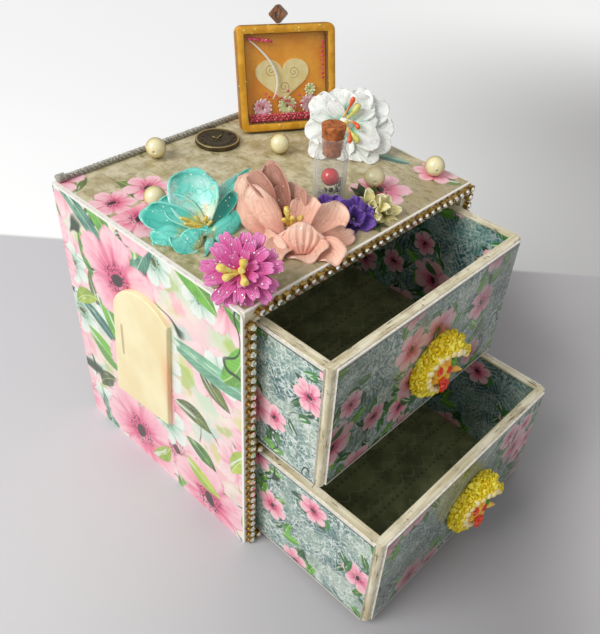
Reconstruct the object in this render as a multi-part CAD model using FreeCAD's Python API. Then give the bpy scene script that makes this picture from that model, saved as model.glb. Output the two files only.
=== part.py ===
import FreeCAD, Part
import math
import os

from FreeCAD import Vector

os.makedirs("parts", exist_ok=True)

# A mini chest of two drawers, made of boards with printed card glued on, and decorated on top.
# Millimetres. The origin is the centre of the case's footprint at its underside.
# +X runs along the front to the right, +Y to the back, +Z up. The drawers pull out towards -Y.

# Case
case_width = 120.0
case_depth = 102.5
case_height = 118.0
card_thick = 0.8
side_thick = 4.7
top_thick = 4.7
base_thick = 3.0
back_thick = 3.0
shelf_thick = 3.5
shelf_underside = 52.4
case_corner_round = 3.0

# Drawers
drawer_depth = 97.5
drawer_side_gap = 1.2
drawer_glide_gap = 0.3
upper_head_gap = 2.3
lower_head_gap = 1.0
drawer_wall = 3.2
drawer_floor = 3.0
lining_thick = 0.4
lining_rim_gap = 0.6
drawer_corner_strip = 3.1
drawer_corner_round = 1.5
card_rim_gap = 0.4
upper_pull = 30.0
lower_pull = 57.7

# Knobs: a curled crescent of lumps round a small posy
knob_up = 25.2
knob_right = 1.5
knob_arc_radius = 9.3
knob_lump_small = 3.9
knob_lump_large = 4.6
knob_lump_out_low = 1.4
knob_lump_out_high = 4.0
knob_lumps = 8
knob_arc_start = 10.0
knob_arc_end = 280.0
posy_radius = 5.2
posy_height = 8.0
posy_gap = 0.2
posy_bud_radius = 1.9
posy_bud_inset = 0.4
posy_buds = 5

# Cup chain along the front edges
cup_pitch = 3.7
cup_radius = 1.4
cup_height = 2.0
cup_wall = 0.3
cup_floor = 0.8
chain_link_width = 0.9
chain_link_thick = 0.5
chain_from_left = 2.6
chain_from_right = 1.8
chain_from_top = 1.8
chain_from_bottom = 1.7
stone_table_radius = 0.6
stone_rise = 0.6
stone_fit_gap = 0.03

# Tablet on the left side
tablet_foot_width = 33.3
tablet_foot_slant = 7.0
tablet_shoulder_width = 31.8
tablet_back_shoulder_height = 45.7
tablet_front_shoulder_height = 56.5
tablet_arch_height = 60.4
tablet_arch_to_front = 2.0
tablet_thick = 2.0
tablet_edge_round = 0.6
tablet_lean = 6.5
tablet_foot_up = 36.0
tablet_from_back = 43.8

# Cord along the top back edge
rope_radius = 1.15
rope_inset = 1.6
rope_cap_radius = 1.7
rope_cap_length = 3.0

# Beads and small things on the top
pearl_diameter = 8.0
charm_radius = 9.0
charm_thick = 1.6
charm_rim_width = 1.0
charm_rim_height = 0.4
charm_loop_radius = 1.6
charm_loop_wire = 0.5
cube_bead_side = 5.2
cube_bead_along = 17.2

# Framed window that leans back
frame_size = 41.0
frame_border = 3.4
frame_depth = 3.5
frame_corner_round = 3.0
frame_lean = 15.0
frame_turn = -29.7
window_back_thick = 0.8
window_film_thick = 0.3
window_film_inset = 0.5
heart_side_gap = 5.3
heart_height = 16.0
heart_thick = 0.6
heart_left_of_middle = 0.5
heart_above_pane_foot = 8.0
sequin_thick = 0.4
left_sequin_radius = 2.6
left_sequin_from_side = 6.4
left_sequin_up = 5.2
middle_sequin_radius = 2.4
middle_sequin_up = 4.9
right_sequin_radius = 2.2
right_sequin_from_side = 7.8
right_sequin_up = 5.4
high_sequin_radius = 1.8
high_sequin_from_side = 3.6
high_sequin_up = 21.3
microbead_radius = 0.6
microbead_gap = 0.08
microbead_rows = 3

# Vial with a cork
vial_radius = 6.0
vial_wall = 0.9
vial_body_height = 17.8
vial_shoulder_height = 2.6
vial_neck_radius = 4.75
vial_lip_radius = 5.3
vial_lip_height = 1.6
vial_height = 25.0
cork_fit_gap = 0.05
cork_depth = 7.0
cork_above = 4.2
cork_top_radius = 4.4
cork_bottom_radius = 3.3
red_bead_radius = 3.25
red_bead_up = 10.4
red_bead_side = -139.0
small_bead_radius = 1.0
small_bead_layers = 4
vial_heap_side = -46.0
vial_heap_spread = 0.28
bead_gap = 0.03

# Places on the top. Across and back are measured from its middle, to the right and to the rear.
left_pearl_across = -42.4
left_pearl_back = 13.05
rear_pearl_across = -19.6
rear_pearl_from_back = 8.7
middle_pearl_across = 19.6
middle_pearl_back = 14.45
front_pearl_across = 27.5
front_pearl_back = -28.25
corner_pearl_from_right = 7.5
corner_pearl_from_front = 13.3
charm_across = 6.9
charm_from_back = 14.0
frame_across = 18.2
frame_from_back = 16.15
vial_across = 7.3
vial_back = -23.5
white_across = 41.0
white_back = -2.05
daisy_from_left = 6.4
daisy_from_front = 7.4
peach_across = -18.0
peach_back = -29.75
teal_across = -39.9
teal_back = -8.25
violet_across = -0.8
violet_back = -38.65
yellow_across = 13.4
yellow_back = -41.85

# Petals
petal_thick = 0.7
petal_gap = 0.1
flower_seat_gap = 0.2

left = -case_width / 2
right = case_width / 2
front = -case_depth / 2
back = case_depth / 2
inner_left = left + card_thick + side_thick
inner_right = right - card_thick - side_thick
inner_back = back - card_thick - back_thick
inner_top = case_height - card_thick - top_thick
shelf_top = shelf_underside + shelf_thick
Z = Vector(0, 0, 1)


def save(name, shape):
    shape.exportStep("parts/" + name + ".step")


def block(x0, x1, y0, y1, z0, z1):
    return Part.makeBox(x1 - x0, y1 - y0, z1 - z0, Vector(x0, y0, z0))


def round_edges(shape, radius, is_wanted):
    """Round the straight edges whose middle point is_wanted accepts."""
    chosen = [edge for edge in shape.Edges if is_wanted(edge)]
    return shape.makeFillet(radius, chosen)


def middle(edge):
    return edge.valueAt((edge.FirstParameter + edge.LastParameter) / 2)


def along(edge):
    """Direction of an edge between its two ends."""
    return (edge.valueAt(edge.LastParameter) - edge.valueAt(edge.FirstParameter)).normalize()


def near(value, target):
    return abs(value - target) < 0.01


def joined(solids):
    first = solids[0]
    if len(solids) == 1:
        return first
    return first.fuse(solids[1:]).removeSplitter()


# Boards of the case
save("left_side_board", block(left + card_thick, inner_left, front, back - card_thick, 0, inner_top))
save("right_side_board", block(inner_right, right - card_thick, front, back - card_thick, 0, inner_top))
save("top_board", block(left + card_thick, right - card_thick, front, back - card_thick,
                        inner_top, case_height - card_thick))
save("base_board", block(inner_left, inner_right, front, back - card_thick, 0, base_thick))
save("back_board", block(inner_left, inner_right, inner_back, back - card_thick, base_thick, inner_top))
save("shelf_board", block(inner_left, inner_right, front, inner_back, shelf_underside, shelf_top))


# Printed card on the case: its top front corners are rounded off
def side_card(x0, x1):
    plate = block(x0, x1, front, back, 0, case_height)
    return round_edges(plate, case_corner_round,
                       lambda e: near(middle(e).y, front) and near(middle(e).z, case_height))


save("left_side_card", side_card(left, left + card_thick))
save("right_side_card", side_card(right - card_thick, right))
save("top_card", block(left + card_thick, right - card_thick, front, back,
                       case_height - card_thick, case_height))
save("back_card", block(left + card_thick, right - card_thick, back - card_thick, back,
                        0, case_height - card_thick))


# Drawers: four walls and a floor, card on three sides and a printed lining
def drawer(name, z0, z1, pull):
    face = front - pull
    x0 = inner_left + drawer_side_gap
    x1 = inner_right - drawer_side_gap
    rear = face + drawer_depth
    board_x0 = x0 + card_thick
    board_x1 = x1 - card_thick
    board_front = face + card_thick
    wall_front = board_front + drawer_wall
    wall_back = rear - drawer_wall
    front_board = block(board_x0, board_x1, board_front, wall_front, z0, z1)
    front_board = round_edges(front_board, drawer_corner_round,
                              lambda e: abs(along(e).z) > 0.99 and near(middle(e).y, board_front))
    save(name + "_front_board", front_board)
    save(name + "_left_board", block(board_x0, board_x0 + drawer_wall, wall_front, wall_back, z0, z1))
    save(name + "_right_board", block(board_x1 - drawer_wall, board_x1, wall_front, wall_back, z0, z1))
    save(name + "_back_board", block(board_x0, board_x1, wall_back, rear, z0, z1))
    inner_x0 = board_x0 + drawer_wall
    inner_x1 = board_x1 - drawer_wall
    floor_top = z0 + drawer_floor
    save(name + "_floor_board", block(inner_x0, inner_x1, wall_front, wall_back, z0, floor_top))
    card_top = z1 - card_rim_gap
    card_low = z0 + card_rim_gap
    cards = [
        block(x0 + drawer_corner_strip, x1 - drawer_corner_strip, face, board_front, card_low, card_top),
        block(x0, board_x0, face + drawer_corner_strip, rear, card_low, card_top),
        block(board_x1, x1, face + drawer_corner_strip, rear, card_low, card_top),
    ]
    save(name + "_outer_cards", Part.makeCompound(cards))
    lining_top = z1 - lining_rim_gap
    outside = block(inner_x0, inner_x1, wall_front, wall_back, floor_top, lining_top)
    inside = block(inner_x0 + lining_thick, inner_x1 - lining_thick, wall_front + lining_thick,
                   wall_back - lining_thick, floor_top + lining_thick, lining_top)
    save(name + "_lining", outside.cut(inside))
    return face


def knob(name, face, centre_z):
    """Crescent of lumps with its flat back on the drawer's front card, round a posy on a stem. It
    starts high at the right end and sinks along its arc."""
    centre = Vector(knob_right, face, centre_z)
    lumps = []
    for index in range(knob_lumps):
        share = index / (knob_lumps - 1)
        angle = math.radians(knob_arc_start + share * (knob_arc_end - knob_arc_start))
        swell = math.sin(share * math.pi)
        radius = knob_lump_small + (knob_lump_large - knob_lump_small) * swell
        out = knob_lump_out_low + (knob_lump_out_high - knob_lump_out_low) * (1 - share) ** 2
        place = centre + Vector(knob_arc_radius * math.cos(angle), -out, knob_arc_radius * math.sin(angle))
        lumps.append(Part.makeSphere(radius, place))
    reach = knob_arc_radius + 2 * knob_lump_large
    behind = block(centre.x - reach, centre.x + reach, face, face + reach, centre.z - reach, centre.z + reach)
    bore = Part.makeCylinder(posy_radius + posy_gap, 2 * reach, centre + Vector(0, reach, 0), Vector(0, -1, 0))
    save(name + "_knob_crescent", joined(lumps).cut(behind).cut(bore))
    stem = Part.makeCylinder(posy_radius, posy_height, centre, Vector(0, -1, 0))
    buds = []
    for index in range(posy_buds):
        angle = 2 * math.pi * index / posy_buds
        spread = posy_radius - posy_bud_radius - posy_bud_inset
        buds.append(Part.makeSphere(posy_bud_radius, centre + Vector(
            spread * math.cos(angle), -posy_height, spread * math.sin(angle))))
    save(name + "_knob_posy", joined([stem] + buds))


upper_z0 = shelf_top + drawer_glide_gap
upper_z1 = inner_top - upper_head_gap
lower_z0 = base_thick + drawer_glide_gap
lower_z1 = shelf_underside - lower_head_gap
upper_face = drawer("upper_drawer", upper_z0, upper_z1, upper_pull)
lower_face = drawer("lower_drawer", lower_z0, lower_z1, lower_pull)
knob("upper_drawer", upper_face, upper_z0 + knob_up)
knob("lower_drawer", lower_face, lower_z0 + knob_up)

# Cup chain: linked metal cups glued to the front edges, one clear stone in each cup
stones = []


def cup_row(name, start, end):
    """Cups from start to end, both points on the front plane, on one thin strip."""
    run = end - start
    count = int(run.Length / cup_pitch + 0.5) + 1
    step = run * (1 / (count - 1))
    out = Vector(0, -1, 0)
    if abs(run.x) > abs(run.z):
        strip = block(start.x, end.x, front - chain_link_thick, front,
                      start.z - chain_link_width / 2, start.z + chain_link_width / 2)
    else:
        strip = block(start.x - chain_link_width / 2, start.x + chain_link_width / 2,
                      front - chain_link_thick, front, start.z, end.z)
    cups = []
    hollows = []
    for index in range(count):
        place = start + step * index
        floor = place + out * cup_floor
        cups.append(Part.makeCylinder(cup_radius, cup_height, place, out))
        hollows.append(Part.makeCylinder(cup_radius - cup_wall, cup_height, floor, out))
        stones.append(Part.makeCone(cup_radius - cup_wall - stone_fit_gap, stone_table_radius,
                                    cup_height - cup_floor + stone_rise, floor, out))
    save(name, joined([strip] + cups).cut(hollows))


left_column = left + chain_from_left
right_column = right - chain_from_right
top_row = case_height - chain_from_top
bottom_row = chain_from_bottom
shelf_row = shelf_underside + shelf_thick / 2
cup_row("cup_chain_top", Vector(left_column + cup_pitch, front, top_row), Vector(right_column, front, top_row))
cup_row("cup_chain_left", Vector(left_column, front, bottom_row),
        Vector(left_column, front, top_row - cup_pitch))
cup_row("cup_chain_right", Vector(right_column, front, bottom_row),
        Vector(right_column, front, top_row - cup_pitch))
cup_row("cup_chain_shelf", Vector(left_column + cup_pitch, front, shelf_row),
        Vector(right_column - cup_pitch, front, shelf_row))
cup_row("cup_chain_bottom", Vector(left_column + cup_pitch, front, bottom_row),
        Vector(right_column - cup_pitch, front, bottom_row))
save("chain_stones", Part.makeCompound(stones))


# Arched tablet of cast plaster glued flat on the left side, leaning a little to the front. It is
# uneven: its foot slants up and its arch is higher towards the front
def tablet():
    half_foot = tablet_foot_width / 2
    half_top = tablet_shoulder_width / 2
    apex = Vector(0, -tablet_arch_to_front, tablet_arch_height)
    foot_a = Vector(0, -half_foot, tablet_foot_slant / 2)
    foot_b = Vector(0, half_foot, -tablet_foot_slant / 2)
    top_a = Vector(0, -half_top, tablet_front_shoulder_height)
    top_b = Vector(0, half_top, tablet_back_shoulder_height)
    outline = Part.Wire([
        Part.makeLine(foot_a, foot_b),
        Part.makeLine(foot_b, top_b),
        Part.Arc(top_b, apex, top_a).toShape(),
        Part.makeLine(top_a, foot_a),
    ])
    plate = Part.Face(outline).extrude(Vector(-tablet_thick, 0, 0))
    plate = round_edges(plate, tablet_edge_round, lambda e: near(middle(e).x, -tablet_thick))
    plate.rotate(Vector(0, 0, 0), Vector(1, 0, 0), tablet_lean)
    plate.translate(Vector(left, back - tablet_from_back, tablet_foot_up))
    return plate


save("side_tablet", tablet())


# Twisted cord glued along the top back edge, with a wrapped end at each corner
def rear_rope():
    y = back - rope_inset
    run = Part.makeCylinder(rope_radius, case_width - 2 * rope_cap_length,
                            Vector(left + rope_cap_length, y, case_height + rope_radius), Vector(1, 0, 0))
    caps = []
    for x in (left, right - rope_cap_length):
        caps.append(Part.makeCylinder(rope_cap_radius, rope_cap_length,
                                      Vector(x, y, case_height + rope_cap_radius), Vector(1, 0, 0)))
    return Part.makeCompound([run] + caps)


save("rear_rope", rear_rope())


def on_top(x, y):
    return Vector(x, y, case_height)


# Pearls: round beads glued on the top
pearl_radius = pearl_diameter / 2
pearl_places = [
    on_top(left_pearl_across, left_pearl_back),
    on_top(rear_pearl_across, back - rear_pearl_from_back),
    on_top(middle_pearl_across, middle_pearl_back),
    on_top(front_pearl_across, front_pearl_back),
    on_top(right - corner_pearl_from_right, front + corner_pearl_from_front),
]
save("pearls", Part.makeCompound([
    Part.makeSphere(pearl_radius, place + Vector(0, 0, pearl_radius)) for place in pearl_places]))


# Clock face charm lying on the top: a disc with a raised rim and a small hanging loop
def charm():
    place = on_top(charm_across, back - charm_from_back)
    disc = Part.makeCylinder(charm_radius, charm_thick, place)
    rim = Part.makeCylinder(charm_radius, charm_thick + charm_rim_height, place)
    rim = rim.cut(Part.makeCylinder(charm_radius - charm_rim_width, charm_thick + charm_rim_height, place))
    bail_turn = math.radians(62.0)
    bail_reach = charm_radius + charm_loop_radius - charm_loop_wire
    bail_place = place + Vector(bail_reach * math.cos(bail_turn), bail_reach * math.sin(bail_turn), charm_thick / 2)
    bail = Part.makeTorus(charm_loop_radius, charm_loop_wire, bail_place, Z)
    return joined([disc, rim, bail])


save("clock_charm", charm())

# Framed window: a square frame with a clear film in front and a card behind, leaning back
frame_foot = on_top(frame_across, back - frame_from_back)
lean = math.radians(frame_lean)
turn = math.radians(frame_turn)
frame_u = Vector(math.cos(turn), math.sin(turn), 0)
frame_back = Vector(-math.sin(turn), math.cos(turn), 0)
frame_w = Z * math.cos(lean) + frame_back * math.sin(lean)
frame_t = frame_back * math.cos(lean) - Z * math.sin(lean)
frame_total = frame_depth + window_back_thick
frame_foot = frame_foot + Z * (frame_total * math.sin(lean))
frame_axes = FreeCAD.Matrix(
    frame_u.x, frame_t.x, frame_w.x, frame_foot.x,
    frame_u.y, frame_t.y, frame_w.y, frame_foot.y,
    frame_u.z, frame_t.z, frame_w.z, frame_foot.z,
    0, 0, 0, 1)


def in_frame(shape):
    """Carry a shape from the frame's own axes (X along, Y into it, Z up it) to its place."""
    shape.Placement = FreeCAD.Placement(frame_axes).multiply(shape.Placement)
    return shape


def frame_plate(y0, y1):
    plate = block(0, frame_size, y0, y1, 0, frame_size)
    return round_edges(plate, frame_corner_round, lambda e: abs(along(e).y) > 0.99)


pane_low = frame_border
pane_high = frame_size - frame_border
pane_middle = frame_size / 2
opening = block(pane_low, pane_high, 0, frame_depth, pane_low, pane_high)
save("window_frame", in_frame(frame_plate(0, frame_depth).cut(opening)))
save("window_back_card", in_frame(frame_plate(frame_depth, frame_total)))
film_back = window_film_inset + window_film_thick
save("window_film", in_frame(block(pane_low, pane_high, window_film_inset, film_back, pane_low, pane_high)))


def heart():
    half = pane_middle - pane_low - heart_side_gap
    shoulder = heart_height - half / 2
    tip = Vector(0, 0, 0)
    side_b = Vector(half, 0, shoulder)
    side_a = Vector(-half, 0, shoulder)
    dip = Vector(0, 0, shoulder)
    top_b = Vector(half / 2, 0, heart_height)
    top_a = Vector(-half / 2, 0, heart_height)
    outline = Part.Wire([
        Part.makeLine(tip, side_b),
        Part.Arc(side_b, top_b, dip).toShape(),
        Part.Arc(dip, top_a, side_a).toShape(),
        Part.makeLine(side_a, tip),
    ])
    plate = Part.Face(outline).extrude(Vector(0, heart_thick, 0))
    plate.translate(Vector(pane_middle - heart_left_of_middle, frame_depth - heart_thick,
                           pane_low + heart_above_pane_foot))
    return plate


save("window_heart", in_frame(heart()))

# Sequins: small scalloped discs standing flat on the card, along, up and radius of each
sequin_places = [
    (pane_low + left_sequin_from_side, pane_low + left_sequin_up, left_sequin_radius),
    (pane_middle, pane_low + middle_sequin_up, middle_sequin_radius),
    (pane_high - right_sequin_from_side, pane_low + right_sequin_up, right_sequin_radius),
    (pane_high - high_sequin_from_side, pane_low + high_sequin_up, high_sequin_radius),
]
sequins = []
for sequin_along, sequin_up, sequin_radius in sequin_places:
    sequins.append(Part.makeCylinder(sequin_radius, sequin_thick, Vector(sequin_along, frame_depth, sequin_up),
                                     Vector(0, -1, 0)))
save("window_sequins", in_frame(Part.makeCompound(sequins)))

# Microbeads: lying in rows along the foot of the window, and a few stuck near its top corners
microbeads = []
bead_step = 2 * microbead_radius + microbead_gap
bead_y = (film_back + frame_depth) / 2
bead_run = pane_high - pane_low - 2 * microbead_radius - 2 * microbead_gap
for row in range(microbead_rows):
    shift = 0.5 * (row % 2)
    bead_count = int(bead_run / bead_step) - row
    for index in range(bead_count):
        microbeads.append(Part.makeSphere(microbead_radius, Vector(
            pane_low + microbead_radius + microbead_gap + bead_step * (index + shift),
            bead_y + (row % 2 - 0.5) * microbead_radius,
            pane_low + microbead_radius + 0.87 * bead_step * row)))
save("window_microbeads", in_frame(Part.makeCompound(microbeads)))


def cube_bead():
    half = cube_bead_side / 2
    cube = block(-half, half, -half, half, -half, half)
    cube.rotate(Vector(0, 0, 0), Vector(0, 1, 0), 45)
    cube.translate(Vector(cube_bead_along, frame_depth / 2, frame_size + half * math.sqrt(2)))
    return cube


save("cube_bead", in_frame(cube_bead()))


# Glass vial: one turned profile, closed at the foot and open at the lip
vial_place = on_top(vial_across, vial_back)


def turned(points, place):
    """Solid of revolution from (radius, height) points joined by straight lines."""
    ring = [Vector(r, 0, z) for r, z in points]
    outline = Part.makePolygon(ring + [ring[0]])
    solid = Part.Face(outline).revolve(Vector(0, 0, 0), Z, 360)
    solid.translate(place)
    return solid


neck_z = vial_body_height + vial_shoulder_height
bore_radius = vial_neck_radius - vial_wall
save("vial", turned([
    (0, 0),
    (vial_radius, 0),
    (vial_radius, vial_body_height),
    (vial_neck_radius, neck_z),
    (vial_neck_radius, vial_height - vial_lip_height),
    (vial_lip_radius, vial_height - vial_lip_height),
    (vial_lip_radius, vial_height),
    (bore_radius, vial_height),
    (bore_radius, neck_z),
    (vial_radius - vial_wall, vial_body_height),
    (vial_radius - vial_wall, vial_wall),
    (0, vial_wall),
], vial_place))
cork_lip_radius = bore_radius - cork_fit_gap
save("vial_cork", turned([
    (0, vial_height - cork_depth),
    (cork_bottom_radius, vial_height - cork_depth),
    (cork_lip_radius, vial_height),
    (cork_top_radius, vial_height + cork_above),
    (0, vial_height + cork_above),
], vial_place))
vial_bore = vial_radius - vial_wall

# Beads in the vial: a ring of small ones on its floor, more heaped on its right, and a red one
# against its wall on the front left
right_hand = math.radians(vial_heap_side)
small_beads = []
ring_radius = vial_bore - small_bead_radius - bead_gap
ring_count = int(math.pi / math.asin((small_bead_radius + bead_gap) / ring_radius))
for layer in range(small_bead_layers):
    for index in range(ring_count):
        angle = 2 * math.pi * index / ring_count
        if layer > 0 and math.cos(angle - right_hand) < vial_heap_spread * layer:
            continue
        small_beads.append(Part.makeSphere(small_bead_radius, vial_place + Vector(
            ring_radius * math.cos(angle), ring_radius * math.sin(angle),
            vial_wall + small_bead_radius + (2 * small_bead_radius + bead_gap) * layer)))
save("vial_small_beads", Part.makeCompound(small_beads))
red_bead_out = vial_bore - red_bead_radius - bead_gap
red_hand = math.radians(red_bead_side)
save("vial_red_bead", Part.makeSphere(red_bead_radius, vial_place + Vector(
    red_bead_out * math.cos(red_hand), red_bead_out * math.sin(red_hand), red_bead_up)))


# Flowers: thin petals round a small many-sided hub, tilted towards the front left
def station(centre, normal, half_width, cup):
    """Cross-section of a petal: a curved strip, square to the petal's own path."""
    side = Vector(0, half_width, 0)
    lift = normal * cup
    skin = normal * petal_thick
    low_a = centre - side + lift
    low_b = centre + side + lift
    lower = Part.Arc(low_a, centre, low_b).toShape()
    upper = Part.Arc(low_b + skin, centre + skin, low_a + skin).toShape()
    return Part.Wire([lower, Part.makeLine(low_b, low_b + skin), upper, Part.makeLine(low_a + skin, low_a)])


def petal(root, half_share, reach, width, rise, curl, cup):
    """A petal that stands on one side of the hub, curls along its length and is cupped across it.
    It keeps inside its own share of the circle, half_share being half of that angle."""
    shape_of_width = [(0.0, 0.3), (0.16, 0.6), (0.36, 0.86), (0.6, 1.0), (0.84, 0.84), (1.0, 0.42)]
    centre = Vector(root, 0, 0)
    stations = []
    last = 0.0
    for share, swell in shape_of_width:
        angle = math.radians(rise + curl * share)
        centre = centre + Vector(math.cos(angle), 0, math.sin(angle)) * (reach * (share - last))
        last = share
        normal = Vector(-math.sin(angle), 0, math.cos(angle))
        if share == 0:
            normal = Z
        bend = cup * swell
        room = (centre.x + min(0.0, normal.x * (bend + petal_thick))) * math.tan(half_share) - petal_gap
        stations.append(station(centre, normal, min(width / 2 * swell, room), bend))
    return Part.makeLoft(stations, True, True)


def turned_to(shape, place, azimuth, elevation):
    """Tip a shape's +Z axis towards an azimuth and elevation, then carry it to its place."""
    shape.rotate(Vector(0, 0, 0), Vector(0, 1, 0), 90 - elevation)
    shape.rotate(Vector(0, 0, 0), Z, azimuth)
    shape.translate(place)
    return shape


def hub_prism(sides, apothem, z0, z1, start):
    """Prism with one flat side facing each petal."""
    corner_radius = apothem / math.cos(math.pi / sides)
    ring = []
    for index in range(sides + 1):
        angle = math.radians(start) + 2 * math.pi * (index + 0.5) / sides
        ring.append(Vector(corner_radius * math.cos(angle), corner_radius * math.sin(angle), z0))
    return Part.Face(Part.makePolygon(ring)).extrude(Vector(0, 0, z1 - z0))


def flower(name, place, azimuth, elevation, rings):
    """Rings of petals, each round its own hub, standing on the lowest petals. A ring gives the hub's
    radius, bottom and top, the petals' count and start angle, and a petal's reach, width, rise, curl
    and cup. Gives back where the hub's middle came to stand."""
    solids = []
    for radius, z0, z1, count, start, reach, width, rise, curl, cup in rings:
        solids.append(hub_prism(count, radius, z0, z1, start))
        for index in range(count):
            one = petal(radius, math.pi / count, reach, width, rise, curl, cup)
            one.translate(Vector(0, 0, z0 + petal_thick))
            one.rotate(Vector(0, 0, 0), Z, start + 360.0 / count * index)
            solids.append(one)
    shape = turned_to(Part.makeCompound(solids), place, azimuth, elevation)
    settle = Z * (place.z + flower_seat_gap - shape.optimalBoundingBox(False, False).ZMin)
    shape.translate(settle)
    save(name, shape)
    return place + settle


def stamens(name, place, azimuth, elevation, base_up, count, spread, length, wire, tip):
    """Short stalks with round tips on a small pad that sits on the flower's hub."""
    pad = Part.makeCylinder(spread * 0.5, wire, Vector(0, 0, base_up))
    solids = [pad]
    for index in range(count):
        angle = 2 * math.pi * index / count
        lean_out = Vector(math.cos(angle) * 0.45, math.sin(angle) * 0.45, 1).normalize()
        foot = Vector(math.cos(angle), math.sin(angle), 0) * (spread * 0.3) + Z * (base_up + wire / 2)
        solids.append(Part.makeCylinder(wire, length, foot, lean_out))
        solids.append(Part.makeSphere(tip, foot + lean_out * length))
    save(name, turned_to(joined(solids), place, azimuth, elevation))


view_side = 180 + 40.7
white_hub_top = 3.0
daisy_hub_top = 1.5
peach_hub_top = 2.0
teal_hub_top = 1.8
white_place = flower("white_flower", on_top(white_across, white_back), view_side, 40, [
    (3.0, -2.0, 0.4, 6, 0, 14.0, 12.5, 2, 16, 1.8),
    (2.4, 0.4, white_hub_top, 6, 30, 9.6, 9.5, 26, 24, 1.8),
])
daisy_place = flower("purple_flower", on_top(left + daisy_from_left, front + daisy_from_front), view_side, 42, [
    (2.4, -1.5, daisy_hub_top, 12, 15, 9.8, 5.4, 4, 10, 0.8),
])
peach_place = flower("peach_flower", on_top(peach_across, peach_back), view_side, 62, [
    (3.0, -2.0, peach_hub_top, 6, 20, 16.0, 14.0, 20, 38, 2.6),
])
teal_place = flower("teal_flower", on_top(teal_across, teal_back), view_side, 74, [
    (3.0, -1.8, teal_hub_top, 5, 36, 16.5, 17.0, 14, 32, 2.6),
])
flower("violet_flower", on_top(violet_across, violet_back), -30, 70, [
    (2.2, -1.5, 1.5, 5, 49, 7.4, 9.0, 10, 34, 1.4),
])
flower("yellow_flower", on_top(yellow_across, yellow_back), -70, 60, [
    (1.6, -1.2, 1.2, 5, 53, 5.6, 6.6, 10, 26, 1.0),
])
stamens("white_stamens", white_place, view_side, 40, white_hub_top, 4, 2.4, 5.0, 0.35, 0.8)
stamens("purple_stamens", daisy_place, view_side, 42, daisy_hub_top, 4, 2.6, 2.6, 0.8, 1.0)
stamens("peach_pistils", peach_place, view_side, 62, peach_hub_top, 3, 2.6, 4.5, 0.6, 1.0)
stamens("teal_stamens", teal_place, view_side, 74, teal_hub_top, 3, 2.4, 4.0, 0.5, 0.6)
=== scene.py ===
import bpy
import bmesh
import random
from math import cos, pi, radians, sin, sqrt
from mathutils import Matrix, Vector


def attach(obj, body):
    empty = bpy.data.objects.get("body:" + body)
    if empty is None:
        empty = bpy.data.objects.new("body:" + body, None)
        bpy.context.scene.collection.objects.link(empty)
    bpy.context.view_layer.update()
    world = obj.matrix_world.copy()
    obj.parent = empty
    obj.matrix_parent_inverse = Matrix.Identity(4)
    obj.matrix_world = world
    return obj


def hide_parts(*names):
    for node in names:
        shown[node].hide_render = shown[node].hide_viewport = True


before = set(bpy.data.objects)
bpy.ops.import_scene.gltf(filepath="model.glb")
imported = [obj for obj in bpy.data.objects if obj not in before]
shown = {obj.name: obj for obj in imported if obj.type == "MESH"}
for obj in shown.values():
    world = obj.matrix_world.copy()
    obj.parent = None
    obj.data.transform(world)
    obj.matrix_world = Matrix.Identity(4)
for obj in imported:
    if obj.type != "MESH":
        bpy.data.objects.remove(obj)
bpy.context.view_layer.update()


# The room. A pale floor that runs back into a paler wall tone, a window's soft light from the left,
# and the camera standing at the front left corner, looking down on the chest. The floor's colour
# holds painted light: painted darker to the right where the light fades, painted lighter again far
# to the right against the chest's shadow, and a painted glow on the wall tone.
def tone(colour):
    """A colour of 0 to 255 in the linear values that materials use; a wire stays as it is."""
    if isinstance(colour, Wire):
        return colour
    linear = []
    for part in colour:
        part = part / 255
        linear.append(part / 12.92 if part <= 0.04045 else ((part + 0.055) / 1.055) ** 2.4)
    return (*linear, 1.0)


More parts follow.
